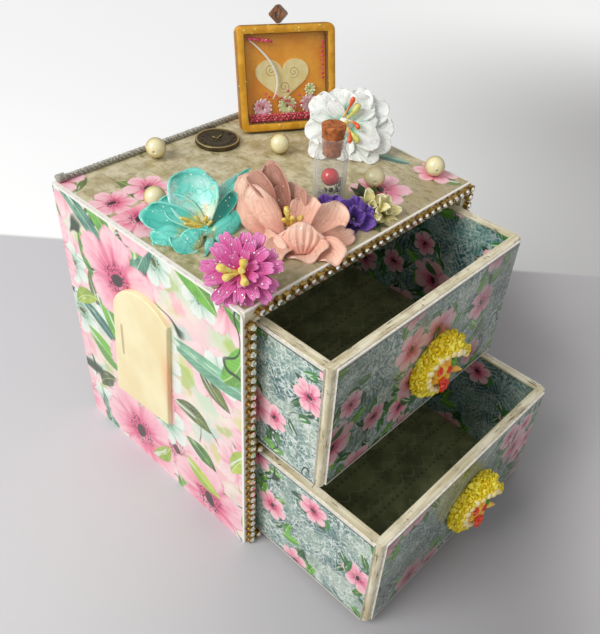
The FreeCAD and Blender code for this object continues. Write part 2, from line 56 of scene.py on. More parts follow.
class Wire:
    """An output of a material node. Sums on wires add Math nodes; put() adds any other node."""

    def __init__(self, socket):
        self.socket = socket
        self.node = socket.node
        self.tree = socket.id_data

    def put(self, kind, settings, sockets, out=0):
        """Add a node of any kind, with its settings and with wires or values for its sockets."""
        node = self.tree.nodes.new("ShaderNode" + kind)
        for name, value in settings.items():
            setattr(node, name, value)
        for name, value in sockets.items():
            if isinstance(value, Wire):
                self.tree.links.new(value.socket, node.inputs[name])
            else:
                node.inputs[name].default_value = value
        return Wire(node.outputs[out])

    def other(self, name):
        return Wire(self.node.outputs[name])

    def math(self, operation, *rest):
        return self.put("Math", {"operation": operation}, dict(enumerate((self, *rest))))

    x = property(lambda self: self.put("SeparateXYZ", {}, {0: self}, 0))
    y = property(lambda self: self.put("SeparateXYZ", {}, {0: self}, 1))
    z = property(lambda self: self.put("SeparateXYZ", {}, {0: self}, 2))
    unsigned = property(lambda self: self.math("ABSOLUTE"))
    sine = property(lambda self: self.math("SINE"))
    fraction = property(lambda self: self.math("FRACT"))
    root = property(lambda self: self.math("SQRT"))

    def below(self, limit):
        return self.math("LESS_THAN", limit)

    def above(self, limit):
        return self.math("GREATER_THAN", limit)

    def least(self, other):
        return self.math("MINIMUM", other)

    def most(self, other):
        return self.math("MAXIMUM", other)

    def __add__(self, more):
        return self.math("ADD", more)

    __radd__ = __add__

    def __mul__(self, more):
        return self.math("MULTIPLY", more)

    __rmul__ = __mul__

    def __sub__(self, less):
        return self.math("SUBTRACT", less)

    def __rsub__(self, whole):
        return self.put("Math", {"operation": "SUBTRACT"}, {0: whole, 1: self})

    def __truediv__(self, share):
        return self.math("DIVIDE", share)

    def rise(self, low, high, first=0.0, last=1.0):
        """0 below low and 1 above high, with a smooth step between them."""
        return self.put("MapRange", {"interpolation_type": "SMOOTHSTEP"},
                        {"Value": self, "From Min": low, "From Max": high, "To Min": first, "To Max": last})

    def fall(self, low, high):
        """1 below low and 0 above high."""
        return self.rise(low, high, 1.0, 0.0)

    def vector(self, operation, *rest, out=0):
        return self.put("VectorMath", {"operation": operation}, dict(enumerate((self, *rest))), out)

    def moved(self, *by):
        return self.vector("ADD", by)

    def flat(self, axes):
        """The place on two axes only, for a print that runs straight through the card."""
        return self.put("CombineXYZ", {}, {0: getattr(self, axes[0]), 1: getattr(self, axes[1])})

    def noise(self, size, detail=3.0, rough=0.5, out=0):
        """Cloudy noise whose blotches are about size metres across."""
        return self.put("TexNoise", {}, {"Vector": self, "Scale": 1 / size, "Detail": detail,
                                         "Roughness": rough}, out)

    def off_middle(self, size, detail=1.0, rough=0.4):
        """How far a soft noise is from its middle value; near 0 it draws thin wandering lines."""
        return (self.noise(size, detail, rough) - 0.5).unsigned

    def over(self, ground, colour):
        """Lay a colour over a ground colour where this wire is 1."""
        return self.put("Mix", {"data_type": "RGBA"}, {0: self, 6: tone(ground), 7: tone(colour)}, 2)

    def bump(self, height, depth):
        """Surface relief depth metres high, from a height wire of 0 to 1."""
        return self.put("Bump", {}, {"Height": height, "Distance": depth, "Strength": 1.0})


def material(name, rough=0.5, **fixed):
    """A new material: its object coordinates as a wire, and its shader to set."""
    made = bpy.data.materials.new(name)
    made.use_nodes = True
    tree = made.node_tree
    shader = tree.nodes["Principled BSDF"]
    shader.inputs["Roughness"].default_value = rough
    for key, value in fixed.items():
        shader.inputs[key.replace("_", " ")].default_value = value
    place = tree.nodes.new("ShaderNodeTexCoord")
    return made, Wire(place.outputs["Object"]), shader


def feed(shader, **wires):
    for key, wire in wires.items():
        wire.tree.links.new(wire.socket, shader.inputs[key.replace("_", " ")])


scene = bpy.context.scene
mm = 0.001
azimuth, elevation, roll = radians(-49.32), radians(40.63), radians(4.3)
looked_at, distance = Vector((-15.2, -40.2, 77.4)) * mm, 0.2686
backward = Vector((sin(azimuth) * cos(elevation), -cos(azimuth) * cos(elevation), sin(elevation)))
level_right = Vector((0, 0, 1)).cross(backward).normalized()
level_up = backward.cross(level_right)
right_hand = level_right * cos(roll) + level_up * sin(roll)
upward = backward.cross(right_hand)
camera = bpy.data.objects.new("camera", bpy.data.cameras.new("camera"))
camera.data.sensor_width = 36.0
camera.data.lens = 40.93
camera.data.shift_x = -0.0198
camera.data.shift_y = 0.0256
camera.data.clip_start = 0.01
camera.data.clip_end = 20.0
camera.matrix_world = Matrix.Translation(looked_at + backward * distance) @ Matrix((
    (right_hand.x, upward.x, backward.x, 0),
    (right_hand.y, upward.y, backward.y, 0),
    (right_hand.z, upward.z, backward.z, 0),
    (0, 0, 0, 1)))
scene.collection.objects.link(camera)
scene.camera = camera
scene.view_settings.view_transform = "Standard"


def mesh_piece(name, points, faces, smooth=True):
    """A mesh object at the origin from points in metres and faces."""
    mesh = bpy.data.meshes.new(name)
    mesh.from_pydata([tuple(point) for point in points], [], faces)
    mesh.update()
    for face in mesh.polygons:
        face.use_smooth = smooth
    piece = bpy.data.objects.new(name, mesh)
    scene.collection.objects.link(piece)
    return piece


floor = mesh_piece("floor", [(-4, -4, 0), (4, -4, 0), (4, 4, 0), (-4, 4, 0)], [(0, 1, 2, 3)], False)
floor_finish, at, shader = material("pale floor", 0.55, Emission_Strength=1.0)
far_side = at.x * 0.753 + at.y * 0.658
past_wall = far_side.rise(0.1225, 0.1265)  # metres away at which the paler wall tone begins
rightward = at.x * 0.62 - at.y * 0.78
dim_right = rightward.rise(-0.10, 0.30)  # metres to the right over which the light fades
# Painted light: the floor is painted darker to the right, where the window's light fades.
floor_painted_light = rightward.rise(-0.10, 0.17).over((214, 214, 219), (146, 145, 149))
# Painted light: far to the right the floor is painted lighter again, against the chest's shadow there.
floor_painted_light = rightward.rise(0.100, 0.170).over(floor_painted_light, (206, 205, 209))
# Painted light: the wall tone is painted from near white at the left to grey at the right.
wall_painted_light = dim_right.over((246, 248, 250), (198, 198, 199))
grain = at.noise(0.004, 2.0)
# Painted light: the wall tone also glows, more at the left and farther back, as painted wall light.
painted_wall_glow = past_wall * (dim_right * -0.19 + 0.19 + far_side.rise(0.30, 0.68) * (dim_right * 0.48 + 0.06))
feed(shader, Base_Color=past_wall.over(floor_painted_light, wall_painted_light), Normal=at.bump(grain, 0.00002),
     Emission_Color=at.put("CombineXYZ", {}, {0: painted_wall_glow, 1: painted_wall_glow, 2: painted_wall_glow}))
floor.data.materials.append(floor_finish)

world = bpy.data.worlds.new("room")
scene.world = world
world.use_nodes = True
sky = world.node_tree.nodes["Background"]
sky.inputs["Color"].default_value = (0.99, 0.98, 0.96, 1.0)
sky.inputs["Strength"].default_value = 0.45


def lamp(name, place, size, watts, colour):
    """A soft rectangular lamp, aimed at the chest's middle."""
    data = bpy.data.lights.new(name, "AREA")
    data.shape = "RECTANGLE"
    data.size, data.size_y = size
    data.energy = watts
    data.color = colour
    light = bpy.data.objects.new(name, data)
    light.location = place
    light.rotation_mode = "QUATERNION"
    light.rotation_quaternion = (Vector(place) - Vector((0, -0.03, 0.06))).to_track_quat("Z", "Y")
    scene.collection.objects.link(light)


lamp("window", (-0.95, 0.25, 0.95), (0.7, 0.7), 12.5, (1.0, 0.985, 0.96))
lamp("fill", (-0.35, -0.9, 0.75), (0.8, 0.6), 0.7, (0.98, 0.98, 0.98))


# Boards of the case and drawers: wood-fibre board painted cream, its paint dragged along each face
# and rubbed through, so that brown shows in long thin lines. They are glued edge to edge and keep
# the shape that the CAD gives them.
def board_paint(name, stretch):
    """Cream paint with its streaks along the axis that stretch shortens."""
    made, at, shader = material(name, 0.62)
    drawn = at.vector("MULTIPLY", stretch)
    streaks = drawn.noise(0.0016, 4.0)
    cream = streaks.rise(0.3, 0.7).over((206, 195, 158), (243, 237, 214))
    smudge = at.noise(0.010, 4.0, 0.6).rise(0.45, 0.68)
    cream = (smudge * 0.5).over(cream, (176, 162, 124))
    lines = drawn.moved(0.3, 0.2, 0.1).noise(0.0007, 3.0, 0.6).rise(0.59, 0.64)
    lines = lines * at.noise(0.010, 2.0).rise(0.42, 0.56)
    specks = at.noise(0.0012, 2.0, 0.6).rise(0.62, 0.70) * at.noise(0.012, 2.0).rise(0.48, 0.62)
    painted = (lines * 0.8).over(cream, (92, 74, 50))
    painted = (specks * 0.8).over(painted, (66, 52, 38))
    feed(shader, Base_Color=painted, Normal=at.bump(streaks * 0.6 - specks * 0.8 - lines * 0.6, 0.00016))
    return made


def dress(name, finishes, choose):
    """Give a shown CAD node its finishes; choose picks the number of one for a face of its mesh."""
    mesh = shown[name].data
    mesh.materials.clear()
    for finish in finishes:
        mesh.materials.append(finish)
    for face in mesh.polygons:
        face.material_index = choose(face, mesh)


def spans(corners):
    """The lowest and highest value of some corners on each axis."""
    return [(min(corner[axis] for corner in corners), max(corner[axis] for corner in corners))
            for axis in range(3)]


def longest_way(face, mesh):
    lengths = [high - low for low, high in spans([mesh.vertices[index].co for index in face.vertices])]
    return lengths.index(max(lengths))


board_paints = [board_paint("cream board", stretch)
                for stretch in ((0.09, 1.0, 1.0), (1.0, 0.09, 1.0), (1.0, 1.0, 0.09))]
for name in shown:
    if name.endswith("_board"):
        dress(name, board_paints, longest_way)


# Printed card on the case. Thick glossy card with a painted flower print, white where it is cut.
# The print is laid out fresh: open flowers, leaves and blotches scattered over each side.
class Scatter:
    """One thing per cell of a loose grid on a flat print: its own coordinates and its own chances."""

    def __init__(self, flat, cell, spread, shift):
        moved = flat.moved(shift, shift * 1.7, 0.0)
        cells = moved.put("TexVoronoi", {"voronoi_dimensions": "2D"},
                          {"Vector": moved, "Scale": 1 / cell, "Randomness": spread})
        away = moved.vector("SUBTRACT", cells.other("Position"))
        self.centre = cells.other("Position").vector("SUBTRACT", (shift, shift * 1.7, 0.0))
        self.chance = cells.other("Color")
        self.distance = away.vector("LENGTH", out=1)
        turned = self.chance.x * 6.283
        x, y = away.x, away.y
        cosine, sine = turned.math("COSINE"), turned.sine
        self.along = x * cosine + y * sine
        self.across = y * cosine - x * sine
        self.angle = self.across.math("ARCTAN2", self.along)


def paint_blooms(ground, flat, cell, spread, shift, radius, petals, keep, colours, where=None):
    """Open flowers with a dark eye over a ground colour. colours: tip, body, throat, eye."""
    tip, body, throat, eye = colours
    spot = Scatter(flat, cell, spread, shift)
    size = spot.chance.y * (radius * 0.45) + radius * 0.72
    ragged = flat.noise(radius * 0.16, 2.0) - 0.5
    lobe = (spot.angle * (petals / 2)).math("COSINE").unsigned
    rim = lobe.math("POWER", 0.5) * 0.42 + 0.58 + ragged * 0.2
    share = spot.distance / (size * rim)
    inside = share.fall(0.93, 1.0)
    present = spot.chance.z.below(keep)
    if where is not None:
        present = present * where(spot.centre)
    rays = flat.put("CombineXYZ", {}, {0: spot.angle * 5.5, 1: share * 0.8, 2: spot.chance.y * 9.0})
    veins = rays.put("TexNoise", {}, {"Vector": rays, "Scale": 1.6, "Detail": 3.0})
    reach = share + (veins - 0.5) * 0.7
    petal = reach.rise(0.18, 0.62).over(throat, body)
    petal = (reach.rise(0.5, 0.95) * 0.9).over(petal, tip)
    wash = flat.noise(radius * 0.55, 2.0).rise(0.45, 0.65)
    petal = (wash * 0.55).over(petal, tip)
    fold = lobe.fall(0.0, 0.5) * share.rise(0.15, 0.4)
    petal = (fold * 0.7).over(petal, throat)
    petal = (share.rise(0.86, 0.97) * veins.rise(0.45, 0.6) * 0.5).over(petal, throat)
    dots = flat.noise(radius * 0.045, 1.0).rise(0.5, 0.58) * share.fall(0.26, 0.4) * share.rise(0.14, 0.2)
    petal = dots.over(petal, eye)
    oval = (spot.along * spot.along * 2.4 + spot.across * spot.across).root / size
    petal = (oval + ragged * 0.06).fall(0.15, 0.2).over(petal, eye)
    return (inside * present).over(ground, petal)


def paint_leaves(ground, flat, cell, spread, shift, length, width, keep, colours, where=None):
    """Pointed leaves with a pale midrib over a ground colour. colours: dark, bright, rib."""
    dark, bright, rib = colours
    spot = Scatter(flat, cell, spread, shift)
    size = spot.chance.y * 0.5 + 0.72
    along = spot.along / (size * length)
    bent = spot.across + (along * along) * (width * 0.5)
    across = bent.unsigned / (size * width)
    edge = across + along * along
    inside = edge.fall(0.9, 1.0)
    present = spot.chance.z.below(keep)
    if where is not None:
        present = present * where(spot.centre)
    shade = spot.chance.y * 0.55 + flat.noise(width * 1.1, 3.0) * 0.9
    leaf = shade.rise(0.4, 0.95).over(dark, bright)
    half = bent.rise(-width * 0.05, width * 0.05) * 0.35
    leaf = half.over(leaf, dark)
    side_veins = ((along * 3.0 + across) * 14.0).sine.rise(0.3, 1.0)
    leaf = (side_veins * 0.12).over(leaf, rib)
    drawn = flat.put("CombineXYZ", {}, {0: spot.along * 0.22, 1: spot.across, 2: spot.chance.x * width * 9.0})
    gleam = drawn.noise(width * 0.7, 1.0).rise(0.56, 0.62) * across.fall(0.3, 0.6)
    leaf = (gleam * 0.75).over(leaf, (238, 248, 238))
    leaf = (across.fall(0.02, 0.08) * 0.6).over(leaf, rib)
    return (inside * present).over(ground, leaf)


def paint_stems(ground, flat, size, shift, colour):
    """Thin wandering stems: the level line of a soft noise, in patches."""
    moved = flat.moved(shift, shift * 0.6, 0.0)
    line = moved.off_middle(size).fall(0.003, 0.010)
    return (line * moved.noise(size * 0.8, 1.0).rise(0.5, 0.6)).over(ground, colour)


def paint_feathers(ground, flat, cell, shift, dark, pale, strength):
    """Short feather strokes, a shaft with slanting barbs, in many directions."""
    spot = Scatter(flat, cell, 0.9, shift)
    wobble = flat.noise(cell * 0.5, 2.0) * 2.0
    barbs = ((spot.along * 0.8 + spot.across.unsigned * 1.1) * (30.0 / cell) + wobble * 3.0).sine
    shaft = spot.across.unsigned.fall(0.0, cell * 0.05)
    marks = (barbs.rise(-0.2, 0.9) * spot.distance.fall(cell * 0.3, cell * 0.75))
    drawn = (marks * strength).over(ground, pale)
    return (shaft * strength).over(drawn, dark)


pink_flower = ((254, 216, 222), (249, 162, 184), (230, 84, 132), (58, 36, 36))
soft_pink_flower = ((254, 230, 230), (251, 200, 208), (242, 142, 170), (92, 66, 52))
white_flower = ((246, 250, 242), (220, 238, 224), (150, 202, 176), (96, 98, 40))
green_leaf = ((24, 78, 44), (116, 196, 62), (220, 236, 170))
olive_leaf = ((44, 62, 46), (128, 150, 70), (200, 212, 150))
teal_leaf = ((36, 108, 96), (138, 204, 160), (214, 236, 224))
forest_leaf = ((20, 54, 40), (64, 142, 66), (150, 190, 130))
lime_leaf = ((112, 158, 30), (196, 218, 84), (236, 242, 180))


def mottled(name, rough, noise, step, ground, colour, grain=None, **fixed):
    """A plain finish of two tones in soft blotches. noise: size and detail; step: where one tone
    passes into the other; grain: size, detail and depth of a bumpy surface."""
    made, at, shader = material(name, rough, **fixed)
    feed(shader, Base_Color=at.noise(*noise).rise(*step).over(ground, colour))
    if grain:
        feed(shader, Normal=at.bump(at.noise(*grain[:2]), grain[2]))
    return made


white_core = mottled("white card core", 0.6, (0.0015, 3.0), (0.3, 0.7), (224, 220, 208), (250, 248, 242))


def paint_all(ground, flat, *layers):
    """Lay blooms, leaves and stems over a ground, one after another, each with its own numbers."""
    for paint, *numbers in layers:
        ground = paint(ground, flat, *numbers)
    return ground


def card_print(name, axes):
    """The side print on two of the object's axes."""
    made, at, shader = material(name, 0.28, Coat_Weight=0.35, Coat_Roughness=0.15)
    flat = at.flat(axes)
    cloud = flat.noise(0.02, 3.0)
    ground = cloud.rise(0.35, 0.6).over((251, 212, 216), (250, 240, 224))
    ground = (flat.noise(0.028, 2.0, 0.4).rise(0.50, 0.64) * 0.9).over(ground, (210, 232, 204))
    for shift, spot, cover in ((0.3, 0.018, (218, 222, 124)), (0.7, 0.016, (252, 182, 194)),
                               (1.3, 0.013, (176, 206, 96)), (1.9, 0.020, (190, 226, 210))):
        wash = flat.moved(shift, shift * 0.4, 0.0).noise(spot, 3.0).rise(0.56, 0.66)
        ground = (wash * 0.75).over(ground, cover)
    ground = paint_all(ground, flat,
                       (paint_blooms, 0.032, 0.6, 4.21, 0.0190, 5, 0.8, soft_pink_flower),
                       (paint_leaves, 0.022, 0.8, 0.31, 0.0120, 0.0046, 0.55, olive_leaf),
                       (paint_blooms, 0.029, 0.6, 0.77, 0.0135, 6, 0.75, white_flower),
                       (paint_leaves, 0.040, 0.7, 2.41, 0.0270, 0.0048, 0.5, teal_leaf),
                       (paint_leaves, 0.025, 0.8, 1.13, 0.0130, 0.0052, 0.6, green_leaf),
                       (paint_stems, 0.030, 0.5, (44, 70, 44)),
                       (paint_blooms, 0.042, 0.5, 1.93, 0.0230, 5, 0.8, pink_flower),
                       (paint_leaves, 0.030, 0.8, 3.37, 0.0110, 0.0042, 0.35, lime_leaf))
    ends = at.y.fall(-0.0504, -0.0500) if axes[0] == "y" else at.x.unsigned.rise(0.0590, 0.0594)
    margin = ends.most(at.z.rise(0.1168, 0.1172))
    ground = margin.over(ground, (248, 246, 240))
    feed(shader, Base_Color=ground, Normal=at.bump(flat.noise(0.0012, 2.0), 0.00003))
    return made


side_print = card_print("side print", "yz")


def give(name, finish, axis=None):
    """Dress a shown CAD node in a finish. With an axis, only the faces square to it; the cut edges
    of the card show its white core."""
    if axis is None:
        dress(name, [finish], lambda face, mesh: 0)
    else:
        dress(name, [finish, white_core], lambda face, mesh: 0 if abs(face.normal[axis]) > 0.7 else 1)


give("left_side_card", side_print, 0)
give("right_side_card", side_print, 0)
give("back_card", card_print("back print", "xz"), 1)

top_print, at, shader = material("top print", 0.34, Coat_Weight=0.2, Coat_Roughness=0.2)
flat = at.flat("xy")
mottle = flat.noise(0.007, 5.0, 0.62)
ground = mottle.rise(0.35, 0.65).over((178, 165, 122), (220, 211, 178))
ground = (at.y.fall(-0.048, -0.018) * mottle.rise(0.3, 0.6) * 0.55).over(ground, (142, 112, 78))
strokes = flat.vector("MULTIPLY", (1.0, 0.35, 1.0)).noise(0.0016, 3.0, 0.6).rise(0.50, 0.68)
grass = flat.vector("MULTIPLY", (0.3, 1.0, 1.0)).noise(0.0014, 3.0, 0.6).rise(0.54, 0.66)
patches = flat.noise(0.018, 2.0).rise(0.4, 0.6)
ground = (strokes * patches * 0.7).over(ground, (112, 104, 66))
ground = (grass * (1.0 - patches) * 0.5).over(ground, (130, 116, 78))
straw = at.off_middle(0.0016).fall(0.01, 0.05)
near_front = at.y.fall(-0.030, -0.004) * flat.noise(0.010, 2.0).rise(0.35, 0.55)
ground = (straw * near_front * 0.7).over(ground, (206, 198, 150))
moss = (at.x + at.y * 0.4).fall(-0.058, -0.046) * flat.noise(0.004, 3.0).rise(0.4, 0.6)
ground = (moss * 0.6).over(ground, (122, 132, 62))


def near_corners(centre):
    """1 at the back left and the front right of the top, where its flowers are printed."""
    left = centre.x.below(-0.036) * centre.y.above(0.0)
    right = centre.x.above(0.020) * centre.y.below(-0.021)
    return left + right


ground = paint_all(ground, flat,
                   (paint_leaves, 0.018, 0.8, 0.53, 0.0090, 0.0032, 0.7, olive_leaf, near_corners),
                   (paint_leaves, 0.017, 0.8, 6.13, 0.0080, 0.0030, 0.6, olive_leaf, near_corners),
                   (paint_blooms, 0.021, 0.5, 2.37, 0.0118, 6, 1.0, pink_flower, near_corners))
blade_x, blade_y = at.x - 0.0500, at.y + 0.0160
along = (blade_x * 0.30 - blade_y * 0.954) / 0.011
over = (blade_x * 0.954 + blade_y * 0.30) / 0.0022
blade = (over * over * 0.6 + along * along).fall(0.85, 1.0)
ground = (blade * 0.9).over(ground, (over * 2.6).sine.rise(-0.8, 1.0).over((40, 116, 108), (150, 190, 168)))
margin = at.x.fall(-0.0586, -0.0581).most(at.y.fall(-0.0505, -0.0501))
ground = margin.over(ground, (246, 242, 234))
feed(shader, Base_Color=ground, Normal=at.bump(strokes, 0.00002))
give("top_card", top_print, 2)


# Drawers: the same card outside in a grey-green feather print with flowers, and a thin dark printed
# paper inside with bands of lace pattern on the floor.
def by_blooms(cell, spread, shift, keep, reach):
    """A test for spots within reach of a printed flower of the scatter named by its numbers."""
    def test(centre):
        spot = Scatter(centre, cell, spread, shift)
        return spot.distance.below(reach) * spot.chance.z.below(keep)
    return test


def drawer_print(name, axes, edges=None, low_tone=(60, 108, 110), high_tone=(140, 172, 160),
                 pale_share=0.8, painted_shade=0.0):
    """The drawer print on two axes; edges are the card's ends on them, where its cut rim shows, and
    the last argument darkens the whole print in soft blotches, a painted shade for a face turned from the
    light."""
    made, at, shader = material(name, 0.3, Coat_Weight=0.3, Coat_Roughness=0.18)
    flat = at.flat(axes)
    ground = flat.noise(0.016, 3.0).rise(0.35, 0.65).over(low_tone, high_tone)
    ground = (flat.moved(0.2, 0.9, 0.0).noise(0.022, 2.0).rise(0.52, 0.66) * pale_share).over(
        ground, (188, 204, 184))
    ground = paint_feathers(ground, flat, 0.011, 0.21, (66, 96, 100), (206, 220, 212), 0.35)
    drift = flat.put("TexNoise", {}, {"Vector": flat, "Scale": 260.0}, 1)
    warped = flat.vector("ADD", drift.vector("MULTIPLY", (0.004, 0.004, 0.0)))
    dark_lines = warped.moved(0.5, 0.5, 0.0).off_middle(0.0026)
    ground = (dark_lines.fall(0.008, 0.035) * 0.5).over(ground, (56, 88, 94))
    for shift, size in ((0.0, 0.0021), (0.9, 0.0030)):
        strokes = warped.moved(shift, shift, 0.0).off_middle(size)
        strokes = strokes.fall(0.014, 0.045) * flat.noise(0.009, 2.0).rise(0.28, 0.52)
        ground = (strokes * pale_share).over(ground, (226, 236, 230))
    beside_large = by_blooms(0.021, 0.55, 4.47, 0.5, 0.0135)
    beside_small = by_blooms(0.017, 0.6, 5.93, 0.3, 0.0115)
    ground = paint_all(ground, flat,
                       (paint_leaves, 0.0066, 0.8, 1.57, 0.0050, 0.0019, 0.85, green_leaf, beside_large),
                       (paint_leaves, 0.0062, 0.8, 2.91, 0.0046, 0.0017, 0.8, forest_leaf, beside_small),
                       (paint_stems, 0.016, 2.7, (40, 66, 50)),
                       (paint_blooms, 0.017, 0.6, 5.93, 0.0062, 6, 0.3, pink_flower),
                       (paint_blooms, 0.021, 0.55, 4.47, 0.0090, 6, 0.5, pink_flower),
                       (paint_leaves, 0.013, 0.8, 5.11, 0.0046, 0.0017, 0.5, forest_leaf, beside_large))
    # Painted shade: the print is darkened as a whole, in soft blotches, for a face turned from the light.
    if painted_shade:
        ground = (flat.noise(0.030, 2.0).rise(0.4, 0.65) * 0.3 + painted_shade).over(ground, (52, 50, 30))
    if edges:
        low, high, bottom, top = edges
        across, up = flat.x, flat.y
        rim = (across - low).least(high - across).least((up - bottom).least(top - up))
        # Painted shadow: a dark band just inside the white cut rim stands for the shadow along the card's
        # edge.
        ground = (rim.fall(0.0011, 0.0014) * 0.8).over(ground, (58, 60, 54))
        ground = rim.fall(0.0005, 0.0008).over(ground, (226, 224, 214))
    feed(shader, Base_Color=ground, Normal=at.bump(flat.noise(0.001, 2.0), 0.00003))
    return made


lining_tones = ((30, 84, 90), (104, 152, 146))
lining_front_print = drawer_print("drawer front lining print", "xz", None, *lining_tones, 0.4)
lining_side_print = drawer_print("drawer side lining print", "yz", None, *lining_tones, 0.4)
drawers = ("upper_drawer", "lower_drawer")
for drawer in drawers:
    ends = spans([vertex.co for vertex in shown[drawer + "_outer_cards"].data.vertices])

    def card_side(face, mesh):
        """The outer faces of the front card and of the side cards; all others are cut edges."""
        if abs(face.normal.y) > 0.7 and face.center.y < ends[1][0] + 0.001:
            return 0
        return 1 if abs(face.normal.x) > 0.7 and abs(face.center.x) > 0.0520 else 2

    # The front print is darkened as painted shade, since the drawer fronts face away from the light; the side
    # print is not.
    dress(drawer + "_outer_cards",
          [drawer_print(drawer + " front print", "xz", (*ends[0], *ends[2]), painted_shade=0.28),
           drawer_print(drawer + " side print", "yz", (*ends[1], *ends[2])), white_core], card_side)

lace_print, at, shader = material("lace floor print", 0.5)
flat = at.flat("xy")
ground = flat.noise(0.012, 4.0).rise(0.3, 0.7).over((104, 112, 74), (148, 154, 108))
band = (at.y * 95.0).fraction
stitches = (at.x * 2200.0).sine.rise(-0.2, 0.4) * band.rise(0.10, 0.13) * band.fall(0.20, 0.23)
arches = ((at.x * 420.0).sine.unsigned * 0.35 + band).fraction
arches = (arches - 0.72).unsigned.fall(0.02, 0.06)
beading = (flat.vector("LENGTH", out=1) * 900.0).sine.rise(0.2, 0.9)
beading = beading * band.rise(0.4, 0.5) * band.fall(0.6, 0.7)
ground = (stitches * 0.55 + beading * 0.25).over(ground, (62, 64, 52))
ground = (arches * 0.45).over(ground, (178, 180, 140))
feed(shader, Base_Color=ground)


def facing_axis(face, mesh):
    steep = [abs(part) for part in face.normal]
    return steep.index(max(steep))


for drawer in drawers:
    dress(drawer + "_lining", [lining_side_print, lining_front_print, lace_print], facing_axis)


# Knobs: cast clay, a curled crescent covered in yellow ruffles with a row of cream beads along its
# inner rim, round an ochre boss with red rosettes and a green leaf. One is glued on each drawer.
def set_on(carry, *place):
    """A place in mm, carried by a matrix, as a point in metres."""
    return carry @ (Vector(place) * mm)


def hand_in(piece, body, slot, *nodes):
    """Let a piece ride on its body, in the place of CAD nodes. The slot is not used."""
    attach(piece, body)
    if nodes:
        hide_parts(*nodes)


def circle(count, start=0.0):
    """The angles of evenly spaced spots round a circle."""
    return [2 * pi * (index + start) / count for index in range(count)]


